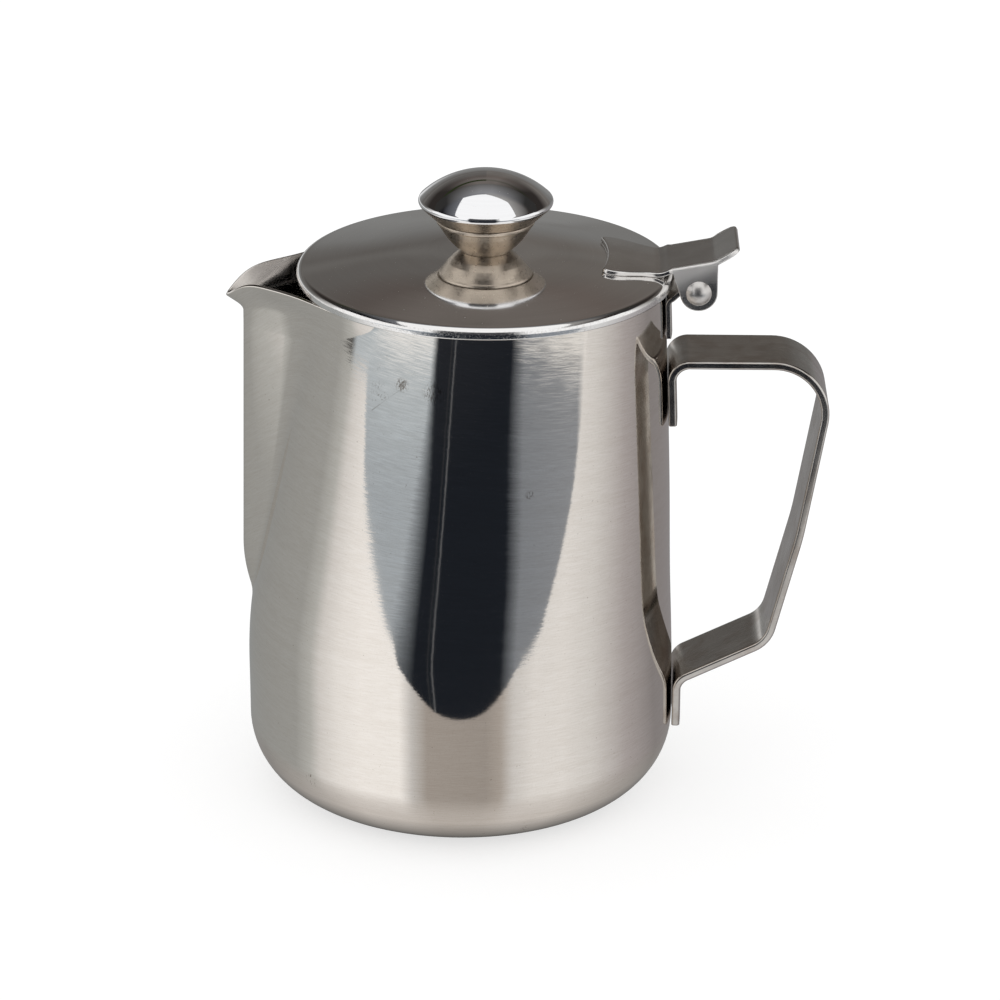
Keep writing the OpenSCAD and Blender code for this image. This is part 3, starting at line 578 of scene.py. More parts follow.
def make_rivet():
    half = LEVER_W / 2 + FIT_GAP
    dome_r = (RIVET_HEAD_R**2 + RIVET_HEAD_H**2) / (2 * RIVET_HEAD_H)
    turn = math.asin(RIVET_HEAD_R / dome_r)
    dome = [
        (dome_r * math.sin(t), half + RIVET_HEAD_H - dome_r * (1 - math.cos(t)))
        for t in np.linspace(0.02, turn * 0.97, 18)
    ]
    r, h = dome[-1]
    head = dome + [(r + 0.03, h - 0.06), (r, half + 0.05), (r - 0.1, half), (PIN_R, half)]
    outline = head + [(a, -b) for a, b in head[::-1]]
    return lathe("rivet", outline, PIN_X, count=96, closed=False, axis="y", z=PIN_Z)


# Knob
KNOB_MID_Z = SEAT_Z + KNOB_MID_H
ROLL_X = KNOB_R - CAP_ROLL_R
DOME_R = CAP_ROLL_R + ROLL_X / sind(DOME_A)
DOME_Z = KNOB_MID_Z - ROLL_X / tand(DOME_A)
MOUTH_Z = KNOB_MID_Z - CAP_ROLL_R * cosd(DOME_A) - (ROLL_X + CAP_ROLL_R * sind(DOME_A) - CAP_MOUTH_R) * tand(DOME_A)


def cap_line(inset):
    made = [((DOME_R - inset) * sind(t), DOME_Z + (DOME_R - inset) * cosd(t)) for t in np.linspace(0.6, DOME_A, 44)]
    turn = np.linspace(90 - DOME_A, DOME_A - 90, 18)[1:]
    made += [(ROLL_X + (CAP_ROLL_R - inset) * cosd(t), KNOB_MID_Z + (CAP_ROLL_R - inset) * sind(t)) for t in turn]
    made.append((CAP_MOUTH_R - inset * sind(DOME_A), MOUTH_Z + inset * cosd(DOME_A)))
    return made


def make_cap():
    outline = cap_line(0)
    foot = outline[-1]
    inner = cap_line(CAP_T)[::-1]
    mouth = rounded([(*outline[-2], 0), (*foot, 0.25), (*inner[0], 0.25), (*inner[1], 0)], 4)[1:-1]
    return lathe("knob_dome", outline[:-1] + [tuple(p) for p in mouth] + inner[1:], LID_X, closed=False)


def make_base():
    shares = [(0.64, 0.21), (0.755, 0.405), (0.86, 0.64), (0.935, 0.82), (0.965, 0.87)]
    line = [(FOOT_R, SEAT_Z)] + [(a * CAP_MOUTH_R, mix(SEAT_Z, MOUTH_Z, b)) for a, b in shares]
    neck = CAP_MOUTH_R - CAP_T * sind(DOME_A) - WELD_GAP
    top = MOUTH_Z - WELD_GAP
    hole = SCREW_R + FIT_GAP
    outline = [(hole, SEAT_Z, 0), (*line[0], 0.35)] + [(*p, 3.0) for p in line[1:4]] + [(*line[4], 0.5), (*line[5], 0.3)]
    outline += [(CAP_MOUTH_R - WELD_GAP, top, 0.25), (neck, top, 0), (neck, MOUTH_Z + CAP_T, 0.2)]
    outline += [(neck - SHELL_T, MOUTH_Z + CAP_T, 0.2)]
    outline += [(p[0] - 0.8 * SHELL_T, p[1] + 0.6 * SHELL_T, 0) for p in line[4:1:-1]]
    outline += [(FOOT_R - SHELL_T / 2, SEAT_Z + FLOOR_T, 0), (hole, SEAT_Z + FLOOR_T, 0)]
    return lathe("knob_funnel", [tuple(p) for p in rounded(outline, 6)], LID_X)


# Materials
class Paint:
    """A node material that is built up call by call."""

    def __init__(self, name):
        self.material = bpy.data.materials.new(name)
        self.material.use_nodes = True
        self.tree = self.material.node_tree
        self.tree.nodes.clear()
        self.place = self.add("TexCoord").outputs["Object"]
        self.mm = self.vector("SCALE", self.place, Scale=1000)

    def put(self, socket, value):
        if isinstance(value, bpy.types.NodeSocket):
            self.tree.links.new(value, socket)
        else:
            socket.default_value = value

    def add(self, kind, *inputs, named=None, **settings):
        node = self.tree.nodes.new("ShaderNode" + kind)
        for key, value in settings.items():
            setattr(node, key, value)
        for i, value in enumerate(inputs):
            if value is not None:
                self.put(node.inputs[i], value)
        for key, value in (named or {}).items():
            self.put(node.inputs[key], value)
        return node

    def math(self, how, *values):
        return self.add("Math", *values, operation=how).outputs[0]

    def vector(self, how, *values, **named):
        node = self.add("VectorMath", *values, operation=how, named=named)
        return node.outputs["Value" if how in ("LENGTH", "DISTANCE", "DOT_PRODUCT") else "Vector"]

    def noise(self, place, scale=1.0, detail=2.0, rough=0.5):
        named = {"Vector": place, "Scale": scale, "Detail": detail, "Roughness": rough}
        return self.add("TexNoise", named=named).outputs["Fac"]

    def remap(self, value, a, b, c=0.0, d=1.0):
        named = {"Value": value, "From Min": a, "From Max": b, "To Min": c, "To Max": d}
        return self.add("MapRange", named=named).outputs["Result"]

    def blend(self, share, a, b):
        node = self.add("Mix", data_type="RGBA")
        for i, value in ((0, share), (6, a), (7, b)):
            self.put(node.inputs[i], value)
        return node.outputs[2]

    def bump(self, height, distance, normal=None):
        named = {"Height": height, "Distance": distance, "Strength": 1.0}
        if normal is not None:
            named["Normal"] = normal
        return self.add("Bump", named=named).outputs["Normal"]

    def metal(self, **named):
        shader = self.add("BsdfPrincipled", named={"Metallic": 1.0, **named})
        out = self.add("OutputMaterial")
        self.tree.links.new(shader.outputs[0], out.inputs[0])
        return self.material

    def turned(self, along, across):
        """Coordinates of fine lines that run round the Z axis: long along them, short across."""
        x, y, z = self.add("SeparateXYZ", self.mm).outputs
        radius = self.vector("LENGTH", self.add("CombineXYZ", x, y, 0.0).outputs[0])
        rise = self.math("ADD", z, radius)
        args = [self.math("DIVIDE", v, d) for v, d in ((x, along), (y, along), (rise, across))]
        return self.add("CombineXYZ", *args).outputs[0]


def rgb(*c):
    return (*c, 1.0)


# Smudges on the wall: place, radius, least value of the noise that shows, and strength
MARKS = (
    ((-13.8, -40.7, 118.5), 2.0, 0.47, 0.85), ((-6.2, -43.3, 117.5), 3.2, 0.50, 0.60),
    ((-20.0, -38.3, 121.5), 1.4, 0.50, 0.70), ((-19.5, -38.6, 115.5), 3.4, 0.56, 0.55),
    ((16.4, -45.3, 92.9), 1.2, 0.45, 0.90), ((-36.0, -37.7, 14.8), 2.2, 0.57, 0.90),
    ((16.1, -44.8, 5.8), 1.8, 0.54, 0.80),
)
SCRATCH = ((-20.9, -37.9, 111.1), (-13.5, -40.9, 117.9))


def body_steel():
    p = Paint("body_steel")
    fine = p.noise(p.turned(4.0, 0.3), 1.0, 1.0, 0.5)
    broad = p.noise(p.turned(60.0, 1.6), 1.0, 2.0, 0.5)
    dash = p.noise(p.turned(3.2, 0.3), 1.0, 1.0)
    cloud = p.noise(p.mm, 0.03, 3.0)
    sand = p.noise(p.mm, 2.4, 3.0, 0.7)
    speck = p.noise(p.mm, 1.3, 1.0)
    streak = p.math("ADD", p.math("MULTIPLY", fine, 0.6), p.math("MULTIPLY", broad, 0.4))
    colour = p.blend(p.remap(streak, 0.35, 0.65), rgb(0.83, 0.775, 0.715), rgb(0.885, 0.835, 0.78))
    colour = p.blend(p.remap(dash, 0.58, 0.72, 0.0, 0.15), colour, rgb(0.66, 0.61, 0.55))
    colour = p.blend(p.remap(dash, 0.42, 0.28, 0.0, 0.2), colour, rgb(0.95, 0.92, 0.89))
    colour = p.blend(p.remap(sand, 0.52, 0.72, 0.0, 0.22), colour, rgb(0.62, 0.56, 0.50))
    colour = p.blend(p.remap(speck, 0.76, 0.80, 0.0, 0.5), colour, rgb(0.45, 0.40, 0.35))
    # A few smudges, a scratch and specks
    blot = p.noise(p.vector("MULTIPLY", p.mm, (2.2, 2.2, 0.9)), 1.0, 4.0, 0.75)
    for spot, size, least, share in MARKS:
        off = p.vector("LENGTH", p.vector("SUBTRACT", p.mm, spot))
        on = p.math("MULTIPLY", p.remap(off, size, 0.5 * size), p.remap(blot, least, least + 0.06))
        colour = p.blend(p.math("MULTIPLY", on, share), colour, rgb(0.22, 0.17, 0.13))
    from_end = p.vector("SUBTRACT", p.mm, SCRATCH[0])
    run = tuple(b - a for a, b in zip(*SCRATCH))
    reach = p.math("DIVIDE", p.vector("DOT_PRODUCT", from_end, run), sum(c * c for c in run))
    near = p.vector("SCALE", run, Scale=p.add("Clamp", reach).outputs[0])
    off = p.vector("DISTANCE", from_end, near)
    on = p.math("MULTIPLY", p.remap(off, 0.2, 0.08), p.remap(blot, 0.38, 0.5, 0.2, 0.6))
    colour = p.blend(on, colour, rgb(0.40, 0.35, 0.30))
    rough = p.math("ADD", p.remap(streak, 0.35, 0.75, 0.03, 0.055), p.remap(cloud, 0.4, 0.7, 0.0, 0.02))
    # The inside is brushed coarser than the outside, and its colour is darkened as painted shade in the jug's hollow
    x, y, z = p.add("SeparateXYZ", p.mm).outputs
    facing = p.vector("DOT_PRODUCT", p.add("TexCoord").outputs["Normal"], p.add("CombineXYZ", x, y, 0.0).outputs[0])
    inside = p.remap(facing, 1.0, -1.0)
    rough = p.math("ADD", rough, p.math("MULTIPLY", inside, 0.2))
    colour = p.blend(p.math("MULTIPLY", inside, 0.6), colour, rgb(0.62, 0.585, 0.555))
    normal = p.bump(fine, 0.8e-6, p.bump(sand, 1.5e-6))
    # Each brush line tilts the surface a little, mostly up or down, so that slanting edges in the
    # gloss turn ragged and upright ones stay straight
    side = p.math("MULTIPLY", p.math("SUBTRACT", broad, 0.5), 0.008)
    rise = p.math("MULTIPLY", p.math("SUBTRACT", fine, 0.5), 0.013)
    around = p.add("Tangent", direction_type="RADIAL", axis="Z").outputs[0]
    tilt = p.vector("ADD", p.vector("SCALE", around, Scale=side), p.vector("SCALE", (0, 0, 1), Scale=rise))
    normal = p.vector("NORMALIZE", p.vector("ADD", normal, tilt))
    return p.metal(**{"Base Color": colour, "Roughness": rough, "Normal": normal})


def handle_steel():
    p = Paint("handle_steel")
    x, y, z = p.add("SeparateXYZ", p.mm).outputs
    lines = p.add("CombineXYZ", p.math("MULTIPLY", x, 0.12), p.math("MULTIPLY", y, 1.9), p.math("MULTIPLY", z, 0.12))
    fine = p.noise(lines.outputs[0], 1.0, 3.0, 0.6)
    grain = p.noise(p.mm, 1.8, 3.0, 0.6)
    cloud = p.noise(p.mm, 0.07, 2.0)
    colour = p.blend(p.remap(fine, 0.3, 0.7), rgb(0.54, 0.515, 0.485), rgb(0.64, 0.612, 0.58))
    stain = p.noise(p.mm, 0.17, 4.0, 0.6)
    colour = p.blend(p.remap(cloud, 0.45, 0.62, 0.0, 0.5), colour, rgb(0.42, 0.39, 0.36))
    colour = p.blend(p.remap(stain, 0.48, 0.64, 0.0, 0.5), colour, rgb(0.40, 0.335, 0.29))
    colour = p.blend(p.remap(grain, 0.64, 0.72, 0.0, 0.5), colour, rgb(0.30, 0.27, 0.24))
    rough = p.math("ADD", p.remap(fine, 0.3, 0.7, 0.14, 0.2), p.remap(cloud, 0.35, 0.7, 0.0, 0.06))
    normal = p.bump(fine, 1.4e-6, p.bump(grain, 2.0e-6))
    return p.metal(**{"Base Color": colour, "Roughness": rough, "Normal": normal})


def lever_steel():
    p = Paint("lever_steel")
    grain = p.noise(p.mm, 2.0, 3.0, 0.6)
    cloud = p.noise(p.mm, 0.16, 3.0)
    colour = p.blend(p.remap(cloud, 0.35, 0.7), rgb(0.72, 0.70, 0.68), rgb(0.80, 0.78, 0.76))
    colour = p.blend(p.remap(grain, 0.7, 0.78, 0.0, 0.5), colour, rgb(0.4, 0.36, 0.32))
    x, y, z = p.add("SeparateXYZ", p.mm).outputs
    # The ears are lightened towards their top: a painted highlight of the light from above. They are also rougher
    # there.
    ear = p.math("MULTIPLY", p.remap(p.math("ABSOLUTE", y), LEVER_W / 2 - 1.6, LEVER_W / 2 - 0.9),
                 p.remap(x, PIN_X + EAR_R - EAR_W - 0.5, PIN_X + EAR_R - EAR_W))
    high = p.remap(p.math("SUBTRACT", z, p.math("MULTIPLY", x, 0.45)), PIN_Z - 0.45 * PIN_X + 0.5, PIN_Z - 0.45 * PIN_X + 5.5)
    colour = p.blend(p.math("MULTIPLY", ear, high), colour, rgb(0.93, 0.91, 0.89))
    rough = p.math("ADD", p.remap(cloud, 0.35, 0.7, 0.12, 0.2), p.math("MULTIPLY", ear, p.remap(high, 0.0, 1.0, 0.10, 0.34)))
    return p.metal(**{"Base Color": colour, "Roughness": rough, "Normal": p.bump(grain, 2.2e-6)})


def cast_look(p):
    """Colour and roughness of grainy, warm steel as it comes from turning."""
    grain = p.noise(p.mm, 2.6, 4.0, 0.7)
    pits = p.noise(p.mm, 0.9, 3.0, 0.65)
    colour = p.blend(p.remap(pits, 0.35, 0.7), rgb(0.58, 0.505, 0.42), rgb(0.68, 0.60, 0.51))
    colour = p.blend(p.remap(grain, 0.62, 0.74, 0.0, 0.35), colour, rgb(0.36, 0.30, 0.24))
    rough = p.math("ADD", p.remap(pits, 0.3, 0.7, 0.24, 0.34), p.remap(grain, 0.4, 0.7, 0.0, 0.06))
    return colour, rough, grain


def polished_steel(name, base, dark, rough, low_z=None, edge_z=None):
    """Bright polish with faint marks from its turning and a little dust, plain and grainy below low_z."""
    p = Paint(name)
    centred = p.vector("SUBTRACT", p.mm, (LID_X, 0.0, 0.0))
    x, y, z = p.add("SeparateXYZ", centred).outputs
    radius = p.vector("LENGTH", p.add("CombineXYZ", x, y, 0.0).outputs[0])
    rise = p.math("SUBTRACT", p.math("MULTIPLY", radius, 1.0), z)
    args = [p.math("DIVIDE", v, d) for v, d in ((x, 30.0), (y, 30.0), (rise, 0.9))]
    rings = p.noise(p.add("CombineXYZ", *args).outputs[0], 1.0, 3.0, 0.6)
    dust = p.noise(p.mm, 1.1, 1.0)
    cloud = p.noise(p.mm, 0.06, 3.0)
    colour = p.blend(p.remap(rings, 0.3, 0.7), dark, base)
    colour = p.blend(p.remap(dust, 0.76, 0.8, 0.0, 0.4), colour, rgb(0.9, 0.88, 0.85))
    level = p.math("ADD", p.remap(rings, 0.3, 0.7, rough, rough + 0.02), p.remap(cloud, 0.4, 0.7, 0.0, 0.03))
    level = p.math("ADD", level, p.remap(dust, 0.76, 0.8, 0.0, 0.3))
    if edge_z is not None:
        grit = p.noise(p.mm, 2.2, 3.0, 0.7)
        on = p.math("MULTIPLY", p.remap(z, edge_z, edge_z - 0.5), p.remap(radius, LID_R - 3.0, LID_R - 2.0))
        level = p.math("ADD", level, p.math("MULTIPLY", on, p.remap(grit, 0.4, 0.65, 0.0, 0.22)))
        colour = p.blend(p.math("MULTIPLY", on, p.remap(grit, 0.5, 0.7, 0.0, 0.4)), colour, rgb(0.50, 0.45, 0.40))
    if low_z is not None:
        plain, matt, _ = cast_look(p)
        under = p.remap(z, low_z + 0.15, low_z - 0.15)
        colour = p.blend(under, colour, plain)
        level = p.math("ADD", p.math("MULTIPLY", level, p.math("SUBTRACT", 1.0, under)), p.math("MULTIPLY", matt, under))
    return p.metal(**{"Base Color": colour, "Roughness": level, "Normal": p.bump(rings, 0.5e-6)})


def cast_steel():
    p = Paint("cast_steel")
    colour, rough, grain = cast_look(p)
    x, y, z = p.add("SeparateXYZ", p.mm).outputs
    rings = p.noise(p.add("CombineXYZ", p.math("MULTIPLY", x, 0.05), p.math("MULTIPLY", y, 0.05), z).outputs[0], 1.5, 3.0)
    normal = p.bump(grain, 4e-6, p.bump(rings, 2e-6))
    return p.metal(**{"Base Color": colour, "Roughness": rough, "Normal": normal})


def fastener_steel():
    p = Paint("fastener_steel")
    grain = p.noise(p.mm, 3.2, 2.0, 0.5)
    cloud = p.noise(p.mm, 0.35, 2.0)
    colour = p.blend(p.remap(cloud, 0.35, 0.7), rgb(0.62, 0.60, 0.58), rgb(0.72, 0.70, 0.68))
    rough = p.remap(grain, 0.3, 0.7, 0.30, 0.35)
    return p.metal(**{"Base Color": colour, "Roughness": rough, "Normal": p.bump(grain, 0.5e-6)})


# Pieces on their bodies
STEEL = {
    "body_steel": body_steel(),
    "handle_steel": handle_steel(),
    "lever_steel": lever_steel(),
    "lid_steel": polished_steel("lid_steel", rgb(0.90, 0.89, 0.88), rgb(0.86, 0.85, 0.84), 0.05, edge_z=CROWN_Z - 0.5),
    "cap_steel": polished_steel("cap_steel", rgb(0.93, 0.93, 0.94), rgb(0.90, 0.90, 0.91), 0.02, KNOB_MID_Z - 0.75),
    "cast_steel": cast_steel(),
    "fastener_steel": fastener_steel(),
}
PIECES = (
    (make_body, "jug", "jug_body", "body_steel"),
    (make_handle, "jug", "handle", "handle_steel"),
    (make_bracket, "jug", "hinge_bracket", "handle_steel"),
    (make_lid, "lid", "lid", "lid_steel"),
    (make_lever, "lid", "thumb_lever", "lever_steel"),
    (make_rivet, "lid", "hinge_rivet", "fastener_steel"),
    (make_cap, "lid", "knob_cap", "cap_steel"),
    (make_base, "lid", "knob_base", "cast_steel"),
)
for make, body, node, slot in PIECES:
    piece = make()
    piece.data.materials.append(STEEL[slot])
    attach(piece, body)
    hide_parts(node)
for node in ("knob_nut", "knob_screw", "knob_washer"):
    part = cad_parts[node]
    part.data.materials.clear()
    part.data.materials.append(STEEL["fastener_steel"])

# Studio
# The floor's front edge as corners [x, y, radius]. It lies just outside the view, and the dark
# front of the studio shows over it.
FRONT_CORNERS = (
    (-1200, 400, 0), (-808, 400, 0), (-802, -270, 40), (-560, -274, 300), (-345, -323, 300),
    (-185, -281, 80), (0, -135, 65), (112, -214, 20), (160, -199, 50), (500, -238, 300),
    (1200, -300, 0),
)
FLOOR_BACK = 1800


def floor_sheet(name, height):
    """A level sheet from the floor's front edge to its back."""
    front = rounded(FRONT_CORNERS, 12)
    points = [(x, y, height) for x, y in front] + [(x, FLOOR_BACK, height) for x, _ in front]
    n = len(front)
    faces = [(i, i + 1, n + i + 1, n + i) for i in range(n - 1)]
    return mesh_piece(name, points, faces, smooth_normals=False)


def make_floor():
    floor = floor_sheet("floor", 0)
    p = Paint("floor")
    cloth = p.add("BsdfDiffuse", rgb(0.40, 0.40, 0.40))
    glow = p.add("Emission", rgb(0.66, 0.66, 0.66), 1.0)
    both = p.add("AddShader", cloth.outputs[0], glow.outputs[0])
    p.tree.links.new(both.outputs[0], p.add("OutputMaterial").inputs[0])
    floor.data.materials.append(p.material)
    return floor


def stage_glow(piece, p, tone):
    """A studio surface that only shows in the metal's gloss, and neither lights nor shades anything else."""
    p.tree.links.new(p.add("Emission", tone, 1.0).outputs[0], p.add("OutputMaterial").inputs[0])
    p.material.cycles.emission_sampling = "NONE"
    piece.data.materials.append(p.material)
    piece.visible_camera = piece.visible_diffuse = piece.visible_shadow = False
    return piece


# Brightness of the table in the steel by direction from the jug: degrees from the camera's
# side, positive towards the handle, then brightness and a tint of red, green and blue
DIM, WHITE, SHADE, WARM = (1.0, 1.03, 1.02), (1.0, 1.0, 1.0), (1.0, 0.95, 0.97), (1.0, 0.93, 0.87)
TABLE = [
    (-180, 0.27, WHITE), (-150, 0.29, DIM), (-98, 0.35, DIM), (-87, 0.48, DIM), (-80, 0.70, WHITE), (-68, 0.87, WHITE),
    (-54, 0.96, WHITE), (-32, 0.96, WHITE), (-25, 0.58, WHITE), (-17, 0.38, WARM), (14, 0.35, WARM),
    (22, 0.42, WARM), (29, 0.66, WHITE), (40, 0.80, WHITE), (57, 0.81, WHITE), (75, 0.69, WHITE),
    (99, 0.42, SHADE), (125, 0.25, SHADE), (155, 0.26, SHADE), (180, 0.27, WHITE),
]


def make_table_gloss():
    """What the steel shows of the table: bright to both front sides, dim in front and at the back."""
    sheet = floor_sheet("table_gloss", 0.15)
    p = Paint("table_gloss")
    x, y, z = p.add("SeparateXYZ", p.mm).outputs
    front = p.math("MULTIPLY", y, -1.0)
    rough_turn = p.math("ARCTAN2", x, p.math("SUBTRACT", front, 26.0))
    apex = p.math("DIVIDE", 26.0, p.math("MAXIMUM", p.math("COSINE", p.math("MULTIPLY", rough_turn, 0.5)), 0.35))
    turn = p.math("DEGREES", p.math("ARCTAN2", x, p.math("SUBTRACT", front, apex)))
    ramp = p.add("ValToRGB", p.math("DIVIDE", p.math("ADD", turn, 180.0), 360.0))
    stops = ramp.color_ramp.elements
    while len(stops) < len(TABLE):
        stops.new(0.5)
    for stop, (angle, bright, tint) in zip(stops, TABLE):
        stop.position = (angle + 180) / 360
        stop.color = rgb(*(bright * t for t in tint))
    # Nearer the jug the table turns to a duller tone, and close round its foot almost black: painted shade and painted
    # shadow of the jug on the table
    away = p.vector("LENGTH", p.add("CombineXYZ", x, y, 0.0).outputs[0])
    near = p.remap(away, 80.0, 50.0)
    near = p.math("MULTIPLY", p.math("MULTIPLY", near, near), p.math("SUBTRACT", 3.0, p.math("MULTIPLY", near, 2.0)))
    round_it = p.math("ABSOLUTE", turn)
    foot = p.blend(p.remap(round_it, 60.0, 125.0), rgb(0.61, 0.59, 0.575), rgb(0.27, 0.262, 0.255))
    foot = p.blend(p.remap(round_it, 35.0, 12.0), foot, rgb(0.52, 0.495, 0.475))
    tone = p.blend(near, ramp.outputs[0], foot)
    return stage_glow(sheet, p, p.blend(p.remap(away, 51.5, 41.0), tone, rgb(0.12, 0.117, 0.113)))


STUDIO_R = 2400.0
STUDIO_Z = 100.0


def studio_card(name, west, east, low, high, shade, az_steps=24, el_steps=24):
    """A curved card of the studio. Angles are seen from the jug, azimuth 0 towards the camera."""
    points = []
    for j in range(el_steps + 1):
        el = mix(low, high, j / el_steps)
        for i in range(az_steps + 1):
            az = mix(west, east, i / az_steps)
            r = STUDIO_R * cosd(el)
            points.append((r * sind(az), -r * cosd(az), STUDIO_Z + STUDIO_R * sind(el)))
    w = az_steps + 1
    faces = [(j * w + i, j * w + i + 1, (j + 1) * w + i + 1, (j + 1) * w + i) for j in range(el_steps) for i in range(az_steps)]
    card = mesh_piece(name, points, faces, smooth_normals=False)
    p = Paint(name)
    x, y, z = p.add("SeparateXYZ", p.vector("SUBTRACT", p.mm, (0.0, 0.0, STUDIO_Z))).outputs
    az = p.math("DEGREES", p.math("ARCTAN2", x, p.math("MULTIPLY", y, -1.0)))
    el = p.math("DEGREES", p.math("ARCSINE", p.math("DIVIDE", z, STUDIO_R)))
    return stage_glow(card, p, shade(p, az, el))


def front_shade(p, az, el):
    """The dark gap in front of the table, between two grey aprons that fade to white at their sides."""
    dark = p.blend(p.remap(el, -10, 14), rgb(0.012, 0.015, 0.021), rgb(0.065, 0.065, 0.07))
    for start, wide, bright in ((-14.6, 0.45, 0.20), (-16.9, 0.35, 0.05)):
        line = p.math("ADD", az, p.remap(el, -20, -8, -start - 2.2, -start + 2.2))
        on = p.math("MULTIPLY", p.remap(p.math("ABSOLUTE", line), wide, 0.0), p.remap(el, 2, -4))
        dark = p.blend(on, dark, rgb(bright, bright * 1.05, bright * 1.12))
    apron = p.blend(p.remap(el, -21, -13.5), rgb(0.20, 0.225, 0.255), rgb(0.27, 0.305, 0.345))
    apron = p.blend(p.remap(el, -13.5, -10.2), apron, rgb(0.39, 0.44, 0.49))
    apron = p.blend(p.remap(el, -9.2, -7.6), apron, rgb(0.50, 0.565, 0.62))
    apron = p.blend(p.remap(el, -7.2, -6.3), apron, rgb(0.86, 0.89, 0.91))
    # The right one is lower and evenly grey up to its border
    low = p.math("ADD", el, p.remap(az, 15.0, 60.0, 1.75, 6.1))
    plain = p.blend(p.remap(az, 25.0, 55.0), rgb(0.215, 0.237, 0.268), rgb(0.265, 0.287, 0.318))
    plain = p.blend(p.remap(low, -7.1, -6.4), plain, rgb(0.82, 0.82, 0.81))
    apron = p.blend(p.remap(az, -2.0, 2.0), apron, plain)
    left = p.remap(az, p.remap(el, -9.5, -7.5, -24.0, -27.5), p.remap(el, -12.0, -8.0, -42.0, -31.0))
    side = p.math("MAXIMUM", left, p.math("DIVIDE", p.math("SUBTRACT", az, p.remap(el, -14.0, -10.5, 21.0, 17.2)), 8.0))
    side = p.add("Clamp", side).outputs[0]
    apron = p.blend(p.remap(el, -7.0, -5.0), apron, rgb(1.0, 1.0, 1.0))
    apron = p.blend(p.remap(az, 60.5, 65.0), apron, rgb(0.80, 0.80, 0.80))
    apron = p.blend(p.remap(az, -83.0, -87.0), apron, rgb(0.09, 0.09, 0.09))
    return p.blend(side, dark, apron)


def back_shade(p, az, el):
    """The wall behind: grey, darker and browner higher up, with a dark ledge and dark upper sides."""
    away = p.math("ABSOLUTE", az)
    right = p.remap(az, -10.0, 10.0)
    grey = p.blend(p.remap(el, 2, 12), rgb(0.24, 0.24, 0.235), rgb(0.185, 0.183, 0.178))
    dusk = p.blend(right, rgb(0.120, 0.112, 0.105), rgb(0.152, 0.138, 0.126))
    grey = p.blend(p.remap(el, 12, 18), grey, dusk)
    grey = p.blend(p.remap(el, 27, 34), grey, p.blend(right, rgb(0.105, 0.088, 0.080), rgb(0.135, 0.112, 0.100)))
    grey = p.blend(p.remap(el, 34, 39), grey, rgb(0.150, 0.132, 0.120))
    crest = p.remap(p.math("ABSOLUTE", p.math("SUBTRACT", el, 20.5)), 2.2, 0.0, 0.0, 0.35)
    grey = p.blend(crest, grey, rgb(0.20, 0.195, 0.185))
    wave = p.noise(p.mm, 0.0022, 2.0)
    grey = p.blend(p.remap(wave, 0.45, 0.7, 0.0, 0.4), grey, rgb(0.10, 0.09, 0.082))
    wing = p.math("MULTIPLY", p.remap(el, 21, 31), p.remap(away, 171, 146))
    grey = p.blend(wing, grey, rgb(0.028, 0.024, 0.022))
    ledge = p.remap(p.math("ABSOLUTE", p.math("SUBTRACT", el, 43.2)), 2.0, 1.0)
    grey = p.blend(p.math("MULTIPLY", ledge, p.remap(az, 20.0, -20.0, 0.3, 1.0)), grey, rgb(0.022, 0.030, 0.012))
    dawn = p.math("MULTIPLY", p.remap(az, 10.0, -10.0), p.remap(away, 174, 164))
    grey = p.blend(p.math("MULTIPLY", dawn, p.math("POWER", p.remap(el, 9, 1), 2.0)), grey, rgb(0.80, 0.80, 0.80))
    side = p.blend(p.remap(el, 24, 32), rgb(0.75, 0.74, 0.73), rgb(0.03, 0.028, 0.03))
    return p.blend(p.remap(away, 122, 100), grey, side)


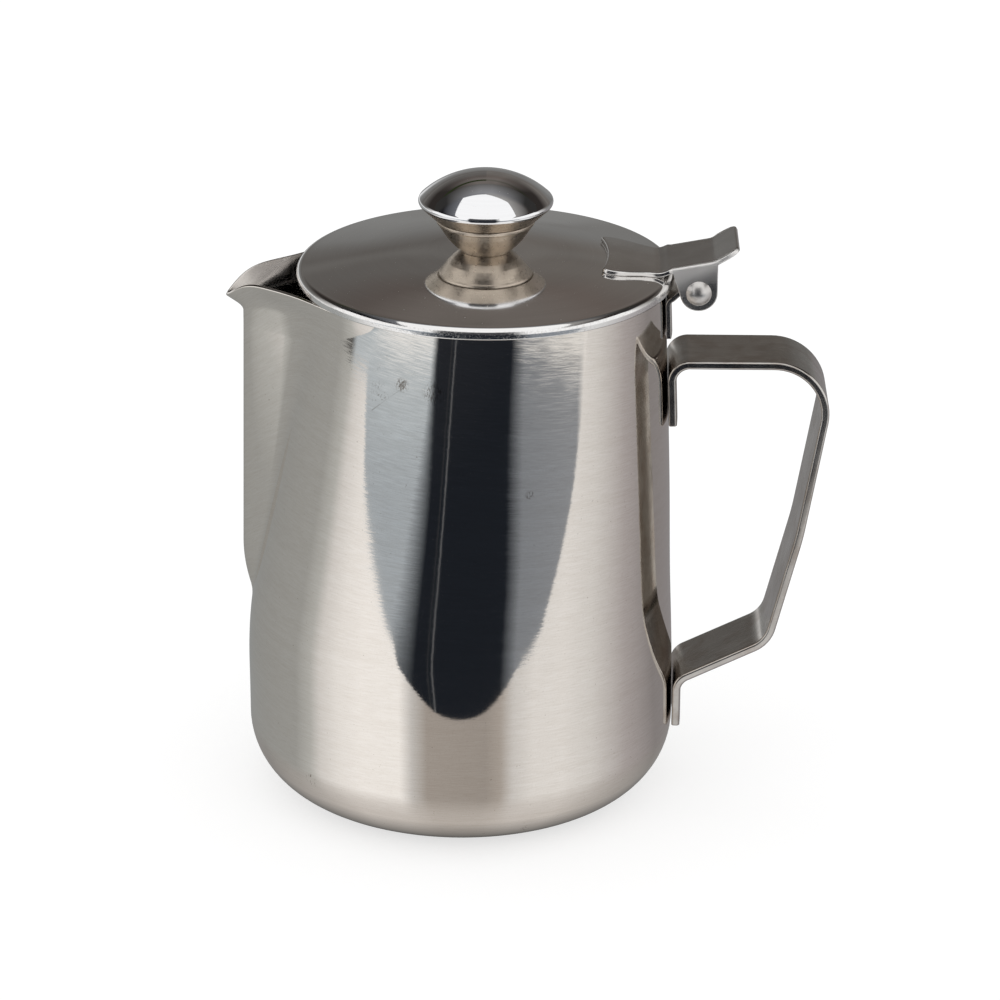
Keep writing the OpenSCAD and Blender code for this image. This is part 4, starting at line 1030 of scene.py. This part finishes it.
def make_ceiling():
    """A lamp panel over the jug, narrow at the back and wide in front, in a dark ceiling."""
    high = 1500.0
    corners = [(-1.5, -1.3), (1.5, -1.3), (1.5, 0.8), (-1.5, 0.8)]
    points = [(u * high, w * high, STUDIO_Z + high) for u, w in corners]
    card = mesh_piece("ceiling", points, [(0, 1, 2, 3)], smooth_normals=False)
    p = Paint("ceiling")
    x, y, z = p.add("SeparateXYZ", p.mm).outputs
    u, w = p.math("DIVIDE", x, high), p.math("DIVIDE", y, high)
    wide = p.math("MULTIPLY", p.math("SUBTRACT", 0.79, w), 0.68)
    over = p.math("SUBTRACT", p.math("ABSOLUTE", p.math("ADD", u, p.remap(w, -0.1, 0.35, 0.0, 0.05))), wide)
    left = p.blend(p.remap(over, 0.0, 0.45), rgb(0.15, 0.155, 0.17), rgb(0.012, 0.012, 0.014))
    right = p.blend(p.remap(over, 0.0, 0.55), rgb(0.32, 0.31, 0.30), rgb(0.035, 0.030, 0.028))
    dark = p.blend(p.remap(u, -0.05, 0.05), left, right)
    back = p.blend(p.remap(w, 0.40, 0.78), rgb(0.26, 0.26, 0.27), rgb(0.12, 0.115, 0.11))
    back = p.blend(p.remap(p.math("ABSOLUTE", u), 0.1, 0.7), back, rgb(0.03, 0.029, 0.028))
    dark = p.blend(p.remap(w, 0.28, 0.42), dark, back)
    edge = p.math("ADD", w, p.math("MULTIPLY", p.math("MAXIMUM", u, 0.0), 0.35))
    lamp = p.math("MULTIPLY", p.remap(over, 0.012, 0.0), p.remap(edge, 0.350, 0.335))
    return stage_glow(card, p, p.blend(lamp, dark, rgb(1.0, 1.0, 1.0)))


stage = [
    make_floor(),
    make_table_gloss(),
    make_ceiling(),
    studio_card("front_card", -104, 75, -32, -5, front_shade, az_steps=60),
    studio_card("front_post", -36, 32, -5, 40, front_shade, el_steps=32),
    studio_card("back_left", -180, -100, -6, 52, back_shade),
    studio_card("back_right", 100, 180, -6, 52, back_shade),
]

scene = bpy.context.scene
scene.world = bpy.data.worlds.new("studio")
scene.world.use_nodes = True
sky = scene.world.node_tree.nodes["Background"]
sky.inputs["Color"].default_value = rgb(1.0, 1.0, 1.0)
sky.inputs["Strength"].default_value = 1.0
scene.view_settings.view_transform = "Standard"

# Camera
CAMERA_AT = (12.5622, -1100.0947, 520.1272)
PITCH, YAW, ROLL = 0.3859, -0.003, 0.0081
ahead = np.array([math.sin(YAW) * math.cos(PITCH), math.cos(YAW) * math.cos(PITCH), -math.sin(PITCH)])
right = np.array([math.cos(YAW), -math.sin(YAW), 0.0])
up = np.cross(right, ahead)
right, up = right * math.cos(ROLL) + up * math.sin(ROLL), up * math.cos(ROLL) - right * math.sin(ROLL)
lens = bpy.data.cameras.new("camera")
lens.sensor_width = 36.0
lens.lens = 174.293
lens.clip_start, lens.clip_end = 0.05, 50.0
camera = bpy.data.objects.new("camera", lens)
turn = Matrix(((right[0], up[0], -ahead[0]), (right[1], up[1], -ahead[1]), (right[2], up[2], -ahead[2])))
camera.matrix_world = Matrix.Translation([c * MM for c in CAMERA_AT]) @ turn.to_4x4()
scene.collection.objects.link(camera)
scene.camera = camera

bpy.context.view_layer.update()
